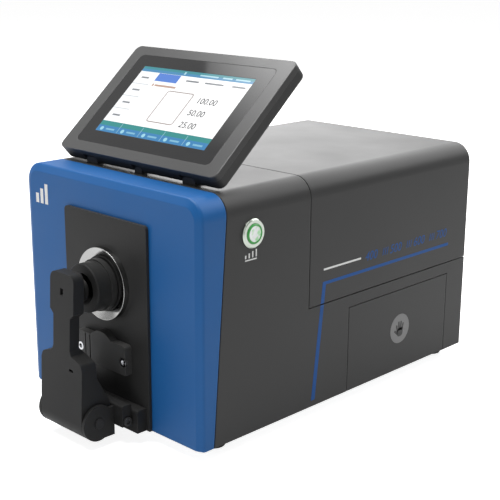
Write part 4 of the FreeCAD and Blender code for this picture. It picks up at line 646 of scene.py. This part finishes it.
def dress(names, material):
    """Gives the named pieces one finish in all their slots."""
    for name in names:
        slots = nodes[name].data.materials
        if len(slots) == 0:
            slots.append(material)
        for index in range(len(slots)):
            slots[index] = material


def dress_nodes():
    """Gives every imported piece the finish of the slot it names, and three pieces one of their own."""
    finishes = {
        "blue_cover": blue_cover(),
        "dark_shell": dark_shell(),
        "black_plate": black_plate(),
        "black_plastic": black_plastic(),
        "black_anodised": black_anodised(),
        "grey_bezel": grey_bezel(),
        "display_back": display_back(),
        "tray_plastic": tray_plastic(),
        "rubber": rubber(),
        "board_green": board_green(),
        "capacitor_sleeve": capacitor_sleeve(),
        "white_ceramic": white_ceramic(),
        "button_green": button_green(),
        "button_cap": button_cap(),
        "quartz": quartz(),
        "zinc_sheet": zinc_sheet(),
        "steel": steel(),
        "aluminium": aluminium(),
        "spring_steel": spring_steel(),
        "chrome": chrome(),
        "turned_metal": ring_metal(),
    }
    for name, node in nodes.items():
        slot = node.data.materials[0].name.split(".")[0]
        if slot in finishes:
            dress([name], finishes[slot])
    dress(["button_bezel"], button_metal())
    dress(["hinge_pin"], blackened_steel())
    # The sample rest gets the lighter copy of the black plastic: painted light for the shade it sits in.
    dress(["sample_rest"], rest_plastic_painted_lighter())


# Surfaces

def skin(name, grid, closed_u=False, closed_v=False, sharp=35.0):
    """Skins a grid of points in millimetres: each point is joined to the next in its row and its column."""
    rows, columns = grid.shape[:2]
    row_starts = np.arange(rows if closed_u else rows - 1)
    column_starts = np.arange(columns if closed_v else columns - 1)
    i, j = np.meshgrid(row_starts, column_starts, indexing="ij")
    next_i, next_j = (i + 1) % rows, (j + 1) % columns
    corners = ((i, j), (i, next_j), (next_i, next_j), (next_i, j))
    faces = np.stack([row * columns + column for row, column in corners], -1)
    mesh = bpy.data.meshes.new(name)
    mesh.from_pydata((grid * MM).reshape(-1, 3), [], faces.reshape(-1, 4).tolist())
    mesh.validate()
    mesh.polygons.foreach_set("use_smooth", np.ones(len(mesh.polygons), bool))
    mesh.set_sharp_from_angle(angle=math.radians(sharp))
    piece = bpy.data.objects.new(name, mesh)
    bpy.context.scene.collection.objects.link(piece)
    return piece


def band(name, outer, inner, low, high, along):
    """A thin closed strip between two lines on a face: the four corners of its section are
    carried along both lines. Low and high are how far it stands along the axis `along`."""
    outer, inner = np.asarray(outer, float), np.asarray(inner, float)
    section = np.stack((outer, inner, inner, outer), 1)
    depth = np.array((high, high, low, low))
    flat = [k for k in range(3) if k != along]
    grid = np.zeros((len(outer), 4, 3))
    grid[..., flat[0]] = section[..., 0]
    grid[..., flat[1]] = section[..., 1]
    grid[..., along] = depth
    caps = np.stack((grid[0].mean(0), grid[-1].mean(0)))
    grid = np.concatenate((np.repeat(caps[:1, None], 4, 1), grid, np.repeat(caps[1:, None], 4, 1)))
    return skin(name, grid, closed_v=True, sharp=20.0)


def finish_piece(piece, body, material):
    """Merges doubled points, makes the faces look out, and names the piece's body and slot."""
    work = bmesh.new()
    work.from_mesh(piece.data)
    bmesh.ops.remove_doubles(work, verts=work.verts, dist=1e-7)
    bmesh.ops.dissolve_degenerate(work, edges=work.edges, dist=1e-7)
    bmesh.ops.recalc_face_normals(work, faces=work.faces)
    work.to_mesh(piece.data)
    work.free()
    piece.data.materials.clear()
    piece.data.materials.append(material)
    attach(piece, body)
    return piece


def ink_and_shade_finish(name, colour, rough=0.35):
    """Screen printed ink, and the painted shade of the display's vent slots: slightly uneven cover over the
    grain below.
    """
    return coated(
        name, colour, darker(colour, 0.8), rough, rough + 0.1, 800.0, 0.000003,
        mottle=0.12, wear=0.1, dust=0.05, radius=0.0001, specular=0.2,
    )


def side_point(y, z):
    """A place on the right-hand side, from the casing's own depth and height."""
    return y + FACE, z + BASE


def on_casing_side(y, z):
    """Points on the right-hand side from the casing's own depths and heights, for a band's edge."""
    return np.stack(side_point(*np.broadcast_arrays(y, z)), -1)


def side_band(name, first, second):
    """A printed strip on the right-hand side between two of its edges."""
    return band(name, first, second, HALF + ROOT, HALF + PROUD, 0)


def on_side(points):
    """Lays points (to the back, up, outwards) on the right-hand side."""
    return np.stack((HALF + points[..., 2], points[..., 0], points[..., 1]), -1)


def on_front(points):
    """Lays points (to the right, up, outwards) on the front cover."""
    return np.stack((points[..., 0], FACE - points[..., 2], points[..., 1]), -1)


def on_rear(points):
    """Lays points (to the right as seen from behind, up, outwards) on the rear panel."""
    return np.stack((-points[..., 0], REAR + points[..., 2], points[..., 1]), -1)


def on_display(points):
    """Lays points (to the right, up the slope, outwards) on the leaning display."""
    return np.array(SCREEN_EDGE) + points @ np.array(((1.0, 0.0, 0.0), SCREEN_UP, SCREEN_OUT))


def round_loop(centre, half_wide, half_high, radius, steps=6):
    """A rectangle with round corners: quarter circles about four corner centres, joined by straight lines."""
    turn = np.radians(np.arange(4)[:, None] * 90 + np.linspace(0, 90, steps)[None])
    signs = np.array(((1, 1), (-1, 1), (-1, -1), (1, -1)))[:, None]
    inner = np.array((half_wide - radius, half_high - radius))
    arc = np.stack((np.cos(turn), np.sin(turn)), -1) * radius
    return (np.array(centre) + signs * inner + arc).reshape(-1, 2)


def layered(loops, heights):
    """Stacks closed lines, each at its own height, as the rows of a grid."""
    return np.stack([np.column_stack((loop, np.full(len(loop), h))) for loop, h in zip(loops, heights)])


def plaque(name, loop, low, high, lay):
    """A flat solid shape: its outline at two heights, and both faces closed towards the middle."""
    middle = np.repeat(loop.mean(0)[None], len(loop), 0)
    grid = layered((middle, loop, loop, middle), (high, high, low, low))
    return skin(name, lay(grid), closed_v=True, sharp=20.0)


def tiles(name, areas, low, high, lay):
    """Many small flat blocks as one mesh: the corners of each are its area's edges at two heights."""
    areas = np.asarray(areas, float)
    x = areas[:, [0, 1, 1, 0, 0, 1, 1, 0]]
    y = areas[:, [2, 2, 3, 3, 2, 2, 3, 3]]
    z = np.broadcast_to(np.array((low,) * 4 + (high,) * 4), x.shape)
    points = lay(np.stack((x, y, z), -1)).reshape(-1, 3) * MM
    block = np.array(((3, 2, 1, 0), (4, 5, 6, 7), (0, 1, 5, 4), (1, 2, 6, 5), (2, 3, 7, 6), (3, 0, 4, 7)))
    faces = (np.arange(len(areas))[:, None, None] * 8 + block).reshape(-1, 4)
    mesh = bpy.data.meshes.new(name)
    mesh.from_pydata(points, [], faces.tolist())
    piece = bpy.data.objects.new(name, mesh)
    bpy.context.scene.collection.objects.link(piece)
    return piece


def side_stripes():
    """The blue band that climbs the right side and turns along the hood, and the white line above it.

    Each edge of the band is a straight line from its foot to its bend, then level to the band's end.
    """
    blue = ink_and_shade_finish("blue_ink", tone(8, 78, 148))
    white = ink_and_shade_finish("white_ink", tone(236, 236, 234))
    foot_z, seam_low, seam_high, end_y = 6.0, 96.3, 97.5, 348.0
    front_foot, front_bend, front_bend_z = 138.0, 151.0, 118.0
    back_foot, back_bend, back_bend_z = 143.0, 155.2, 115.0
    line_start, line_end, line_low, line_high = 151.8, 205.1, 128.7, 130.5

    def climb(z, foot, bend, bend_z):
        return foot + (bend - foot) * (z - foot_z) / (bend_z - foot_z)

    def edge_low(foot, bend, bend_z):
        z = np.linspace(foot_z, seam_low, 12)
        return on_casing_side(climb(z, foot, bend, bend_z), z)

    def edge_high(foot, bend, bend_z):
        rise = np.linspace(seam_high, bend_z, 5)
        run = np.linspace(0.0, 1.0, 24)[1:]
        y = np.concatenate((climb(rise, foot, bend, bend_z), bend + (end_y - bend) * run))
        return on_casing_side(y, np.concatenate((rise, np.full(len(run), bend_z))))

    front = (front_foot, front_bend, front_bend_z)
    back = (back_foot, back_bend, back_bend_z)
    low_stripe = side_band("side_stripe_low", edge_low(*front), edge_low(*back))
    finish_piece(low_stripe, "chassis", blue)
    high_stripe = side_band("side_stripe_hood", edge_high(*front), edge_high(*back))
    finish_piece(high_stripe, "hood", blue)
    y = np.linspace(line_start, line_end, 8)
    line = side_band("side_line", on_casing_side(y, line_high), on_casing_side(y, line_low))
    finish_piece(line, "hood", white)
    return blue, white


def number_row(name, words, size, place, slant, body, material, lay, thick=0.1):
    """Plain numbers in a row, made a mesh, leaned by slant and laid on a face by the function lay."""
    data = bpy.data.curves.new(name, "FONT")
    data.body = words
    data.size = size
    data.shear = slant
    data.extrude = thick
    data.resolution_u = 4
    data.align_y = "BOTTOM_BASELINE"
    writing = bpy.data.objects.new(name + "_curve", data)
    bpy.context.scene.collection.objects.link(writing)
    bpy.context.view_layer.update()
    mesh = bpy.data.meshes.new_from_object(writing.evaluated_get(bpy.context.evaluated_depsgraph_get()))
    bpy.data.objects.remove(writing)
    mesh.name = name
    count = len(mesh.vertices)
    points = np.zeros(count * 3, np.float32)
    mesh.vertices.foreach_get("co", points)
    points = points.reshape(-1, 3)
    laid = lay(points + np.array((*place, 0.0))) * MM
    mesh.vertices.foreach_set("co", laid.astype(np.float32).ravel())
    mesh.update()
    piece = bpy.data.objects.new(name, mesh)
    bpy.context.scene.collection.objects.link(piece)
    return finish_piece(piece, body, material)


def wavelength_scale(blue):
    """A generic scale on the hood: leaned numbers with short ticks between them, in the stripe's blue."""
    y0, z0 = side_point(211.0, 125.4)
    spacing, size, slant = 38.0, 12.4, 0.22
    for k, words in enumerate(("400", "500", "600", "700")):
        place = (y0 + spacing * k, z0)
        number_row(f"scale_number_{words}", words, size, place, slant, "hood", blue, on_side)
    tick_start, tick_spacing, tick_wide, lean, low, high = 27.0, 3.2, 1.0, 1.6, 0.4, 7.6
    starts = [tick_start + spacing * k + tick_spacing * tick for k in range(3) for tick in range(3)]
    for k, start in enumerate(starts):
        first = np.array([(y0 + start, z0 + low), (y0 + start + lean, z0 + high)])
        second = first + np.array((tick_wide, 0.0))
        finish_piece(side_band(f"scale_tick_{k}", first, second), "hood", blue)


def glass_border():
    """The dark glass round the lit picture: a flat ring with round outer corners and a fine bevelled rim."""
    middle, half_wide, half_high, radius = (0.0, 65.95), 90.6, 55.15, 6.0
    bevel, gap, back = 0.2, 0.05, -1.15
    outer = round_loop(middle, half_wide, half_high, radius, 10)
    crest = round_loop(middle, half_wide - bevel, half_high - bevel, radius - bevel, 10)
    picture = (0.0, PICTURE_TOP - PICTURE_HIGH / 2)
    inner = round_loop(picture, PICTURE_WIDE / 2 + gap, PICTURE_HIGH / 2 + gap, 0.4, 10)
    grid = layered((outer, outer, crest, inner, inner), (back, -bevel, 0.0, 0.0, back))
    piece = skin("display_glass_border", on_display(grid), closed_u=True, closed_v=True, sharp=20.0)
    finish_piece(piece, "display", screen_glass())
    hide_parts("display_glass")


def screen_glass():
    return coated(
        "screen_glass", tone(36, 36, 37), tone(60, 60, 60), 0.03, 0.07, 300.0, 0.0000005,
        mottle=0.1, wear=0.1, dust=0.05, radius=0.0003,
    )


def lit(name, colour, glow=0.7, gloss=0.5):
    """Picture under the glass: it gives off its own colour through faint dots, below a clear gloss.

    The dots are two sine waves, one across the picture and one up it, added to an even brightness.
    """
    material, tree, shader = new_material(name)
    place = add(tree, "ShaderNodeTexCoord").outputs["Object"]
    dot_pitch = 0.0003
    shares = []
    for direction in ((1.0, 0.0, 0.0), SCREEN_UP):
        along = add(tree, "ShaderNodeVectorMath", {0: place, 1: direction}, operation="DOT_PRODUCT")
        phase = math_node(tree, "MULTIPLY", along.outputs["Value"], 2 * math.pi / dot_pitch)
        wave = math_node(tree, "SINE", phase)
        shares.append(math_node(tree, "MULTIPLY", wave, 0.02))
    value = math_node(tree, "ADD", math_node(tree, "ADD", *shares), 0.98)
    dotted = add(tree, "ShaderNodeHueSaturation", {"Color": colour, "Value": value}).outputs["Color"]
    shade = mix(tree, 0.55, dotted, (0.0, 0.0, 0.0, 1.0))
    tree.links.new(shade, shader.inputs["Base Color"])
    tree.links.new(dotted, shader.inputs["Emission Color"])
    smear = add(tree, "ShaderNodeTexNoise", {"Vector": place, "Scale": 25.0, "Detail": 3.0})
    tree.links.new(map_range(tree, smear.outputs["Fac"], wanted=(0.03, 0.08)), shader.inputs["Roughness"])
    shader.inputs["Specular IOR Level"].default_value = gloss
    shader.inputs["Emission Strength"].default_value = glow
    return material


def screen_area(u0, u1, t0, t1):
    """An area of the picture, given as shares across it and down it, in the display's millimetres."""
    left = -PICTURE_WIDE / 2
    return (
        left + PICTURE_WIDE * u0,
        left + PICTURE_WIDE * u1,
        PICTURE_TOP - PICTURE_HIGH * t1,
        PICTURE_TOP - PICTURE_HIGH * t0,
    )


def screen_layer(name, areas, level, colour, glow=0.7):
    """Areas of one colour, laid on the picture as thin blocks."""
    thin = 0.06
    piece = tiles(name, [screen_area(*area) for area in areas], level - thin, level, on_display)
    return finish_piece(piece, "display", lit(name, tone(*colour), glow))


def picture_fields():
    """The picture's plain areas: its ground, side list, header, footer and one chosen tab."""
    panel_back = -4.9
    ground = tiles("screen_ground", [screen_area(0, 1, 0, 1)], panel_back, GROUND, on_display)
    finish_piece(ground, "display", lit("screen_ground", tone(248, 248, 248), 0.63))
    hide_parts("display_panel")
    screen_layer("screen_list", [(0.0, 0.155, 0.075, 0.845)], FIELD, (232, 234, 236))
    screen_layer("screen_header_teal", [(0.0, 1.0, 0.0, 0.038)], FIELD, (62, 140, 150), 0.52)
    screen_layer("screen_header_blue", [(0.0, 1.0, 0.036, 0.075)], BAND, (72, 136, 178), 0.55)
    screen_layer("screen_footer_teal", [(0.0, 1.0, 0.845, 0.915)], FIELD, (52, 142, 140), 0.5)
    screen_layer("screen_footer_blue", [(0.0, 1.0, 0.91, 1.0)], BAND, (58, 128, 180), 0.55)
    screen_layer("screen_tab", [(0.18, 0.385, 0.078, 0.195)], BAND, (84, 126, 204), 0.6)


def picture_words():
    """Bars in the place of words, and the thin lines between the list's and the footer's parts."""
    lines = [(0.0, 0.155, t, t + 0.008) for t in (0.26, 0.45, 0.64)]
    screen_layer("screen_list_lines", lines, WORD, (196, 200, 204), 0.5)
    breaks = [(u, u + 0.004, 0.855, 0.99) for u in (0.2, 0.4, 0.6, 0.8)]
    screen_layer("screen_footer_breaks", breaks, WORD, (150, 196, 214), 0.5)
    words = [(0.045, 0.115, t, t + 0.022) for t in (0.155, 0.345, 0.54, 0.735)]
    words += [(u0, u1, 0.128, 0.15) for u0, u1 in ((0.455, 0.57), (0.625, 0.785), (0.86, 0.97))]
    screen_layer("screen_words", words, WORD, (136, 140, 146), 0.4)
    heading = [(0.19, 0.205, 0.238, 0.272), (0.215, 0.41, 0.243, 0.27)]
    screen_layer("screen_heading", heading, WORD, (192, 160, 144), 0.5)
    footer = [(0.2 * k + 0.085, 0.2 * k + 0.165, 0.945, 0.968) for k in range(5)]
    screen_layer("screen_footer_words", footer, WORD, (128, 186, 212), 0.5)
    header = [(0.395, 0.41, 0.018, 0.056)]
    header += [(u0, u1, 0.03, 0.05) for u0, u1 in ((0.54, 0.7), (0.74, 0.82), (0.85, 0.97))]
    screen_layer("screen_header_words", header, WORD, (168, 210, 222), 0.55)


def picture_icons():
    """A round dot before each word of the footer."""
    pale = lit("screen_icons", tone(150, 204, 220), 0.6)
    for k in range(5):
        x0, x1, t0, t1 = screen_area(0.03 + 0.2 * k, 0.06 + 0.2 * k, 0.93, 0.985)
        dot = round_loop(((x0 + x1) / 2, (t0 + t1) / 2), 2.2, 2.2, 2.1)
        icon = plaque(f"screen_icon_{k}", dot, GROUND, WORD, on_display)
        finish_piece(icon, "display", pale)


def sample_square():
    """The thin outline with round corners that stands for the sample."""
    x0, x1, t0, t1 = screen_area(0.37, 0.61, 0.305, 0.765)
    middle = ((x0 + x1) / 2, (t0 + t1) / 2)
    half_wide, half_high, radius, line = (x1 - x0) / 2, (t1 - t0) / 2, 3.0, 1.0
    rim = round_loop(middle, half_wide, half_high, radius)
    inner = round_loop(middle, half_wide - line, half_high - line, radius - line)
    grid = layered((rim, rim, inner, inner), (GROUND, WORD, WORD, GROUND))
    square = skin("screen_square", on_display(grid), closed_u=True, closed_v=True, sharp=20.0)
    finish_piece(square, "display", lit("screen_square", tone(160, 146, 142), 0.4))


def picture_numbers():
    """Three plain readings to the right of the sample."""
    dark = lit("screen_numbers", tone(60, 62, 68), 0.12, 0.15)

    def on_picture(points):
        return on_display(points + np.array((0.0, 0.0, FIELD)))

    for k, words in enumerate(("100.00", "50.00", "25.00")):
        left, _, baseline, _ = screen_area(0.665, 0.9, 0.3, 0.425 + 0.172 * k)
        name, place = f"screen_number_{k}", (left, baseline)
        number_row(name, words, 9.4, place, 0.0, "display", dark, on_picture, 0.03)


def drawer_mark():
    """A pale disc on the drawer with the outline of an open hand on it, of plain rounded bars."""
    y, z = side_point(271.0, 43.5)
    pale = ink_and_shade_finish("disc_ink", tone(136, 136, 136))
    dark = ink_and_shade_finish("hand_ink", tone(74, 74, 74))
    radius = 15.2
    disc = plaque("drawer_disc", round_loop((y, z), radius, radius, radius - 0.01, 16), ROOT, PROUD, on_side)
    finish_piece(disc, "drawer", pale)
    palm = round_loop((y + 0.2, z - 3.6), 4.6, 4.6, 3.4, 8)
    finish_piece(plaque("drawer_hand_palm", palm, 0.0, RAISED, on_side), "drawer", dark)

    # Each finger's place across and up, half its width and length, and its lean in degrees.
    fingers = (
        (-4.6, 0.6, 1.15, 4.0, 14.0),
        (-1.6, 2.8, 1.2, 5.0, 4.0),
        (1.5, 2.9, 1.2, 4.8, -5.0),
        (4.4, 1.4, 1.1, 4.0, -14.0),
        (-6.0, -3.2, 1.2, 3.6, 50.0),
    )
    for k, (across, up, half_wide, half_high, lean) in enumerate(fingers):
        angle = math.radians(lean)
        turn = np.array(((math.cos(angle), -math.sin(angle)), (math.sin(angle), math.cos(angle))))
        loop = round_loop((0.0, 0.0), half_wide, half_high, half_wide - 0.01) @ turn.T + (y + across, z + up)
        finger = plaque(f"drawer_hand_finger_{k}", loop, 0.0, RAISED, on_side)
        finish_piece(finger, "drawer", dark)


def front_marks(white):
    """Three plain rising bars on the front, and a short row of rising ticks under the test button."""
    left, foot, width, spacing = -104.0, 192.0, 4.5, 7.0
    starts = [left + spacing * k for k in range(3)]
    bars = [(x, x + width, foot, foot + rise) for x, rise in zip(starts, (9.0, 14.0, 19.0))]
    finish_piece(tiles("front_bars", bars, ROOT, PROUD, on_front), "chassis", white)
    y, z = side_point(50.5, 158.5)
    width, spacing, lift = 1.5, 4.2, 1.2
    starts = [y + spacing * k for k in range(4)]
    ticks = [(x, x + width, z + lift, z + lift + rise) for x, rise in zip(starts, (3.0, 4.2, 5.4, 6.6))]
    ticks.append((y, starts[-1] + width, z - 1.0, z + 0.1))
    finish_piece(tiles("button_ticks", ticks, ROOT, PROUD, on_side), "chassis", white)


def rating_plate():
    """A blank plate low on the rear panel: a pale sheet with rows of bars and one square on it."""
    pale = ink_and_shade_finish("plate_ink", tone(168, 170, 172), 0.3)
    dark = ink_and_shade_finish("plate_bars", tone(52, 54, 56))
    sheet = round_loop((-66.0, 40.0), 27.0, 17.0, 2.0)
    finish_piece(plaque("rating_plate", sheet, ROOT, PROUD, on_rear), "chassis", pale)
    left, top, spacing, height = -89.0, 50.0, 4.5, 1.6
    feet = [top - spacing * k for k in range(5)]
    bars = [(left, left + long, z, z + height) for z, long in zip(feet, (34.0, 22.0, 28.0, 18.0, 25.0))]
    bars += [(-52.0, -43.0, 27.0, 36.0)]
    finish_piece(tiles("rating_bars", bars, 0.0, RAISED, on_rear), "chassis", dark)


def socket_ticks(white):
    """A short line under each socket of the rear panel."""
    half_wide, low, high = 3.0, 39.0, 40.0
    ticks = [(x - half_wide, x + half_wide, low, high) for x in (-5.0, 40.0, 62.0)]
    finish_piece(tiles("socket_ticks", ticks, ROOT, PROUD, on_rear), "chassis", white)


def rear_screws():
    """Four low screw heads at the rear panel's corners: circles stacked from a round socket to the rim."""
    bright = steel()
    turn = np.linspace(0, 2 * np.pi, 25)[:-1]
    circle = np.stack((np.cos(turn), np.sin(turn)), -1)
    radii = (0.02, 1.3, 1.3, 2.2, 2.9, 3.0, 3.0, 0.02)
    heights = (0.2, 0.2, 0.9, 0.9, 0.6, 0.2, ROOT, ROOT)
    for k, (x, z) in enumerate(((-110.0, 20.0), (110.0, 20.0), (-110.0, 98.0), (110.0, 98.0))):
        loops = [circle * radius + (x, z) for radius in radii]
        head = skin(f"rear_screw_{k}", on_rear(layered(loops, heights)), closed_v=True)
        finish_piece(head, "chassis", bright)


def display_vents():
    """Two rows of slots across the upper back of the display, each a dark strip with round ends: painted
    shade in place of an open slot.
    """
    # Painted shade: each dark strip stands for the shadow inside a vent slot, and no hole is cut.
    dark = ink_and_shade_finish("vent_dark", tone(16, 16, 16), 0.6)
    half_wide, half_high, inside, outside = 1.1, 6.0, -16.3, -16.6
    places = [(x, t) for t in (92.0, 108.0) for x in np.arange(-42.0, 43.0, 7.0)]
    for k, place in enumerate(places):
        loop = round_loop(place, half_wide, half_high, half_wide - 0.01)
        slot = plaque(f"display_vent_{k}", loop, outside, inside, on_display)
        finish_piece(slot, "display", dark)


photo_camera()
studio_world()
studio_floor()
studio_lamps()
dress_nodes()
blue_ink, white_ink = side_stripes()
wavelength_scale(blue_ink)
glass_border()
picture_fields()
picture_words()
picture_icons()
sample_square()
picture_numbers()
drawer_mark()
front_marks(white_ink)
rating_plate()
socket_ticks(white_ink)
rear_screws()
display_vents()

bpy.context.scene.view_settings.view_transform = "Standard"
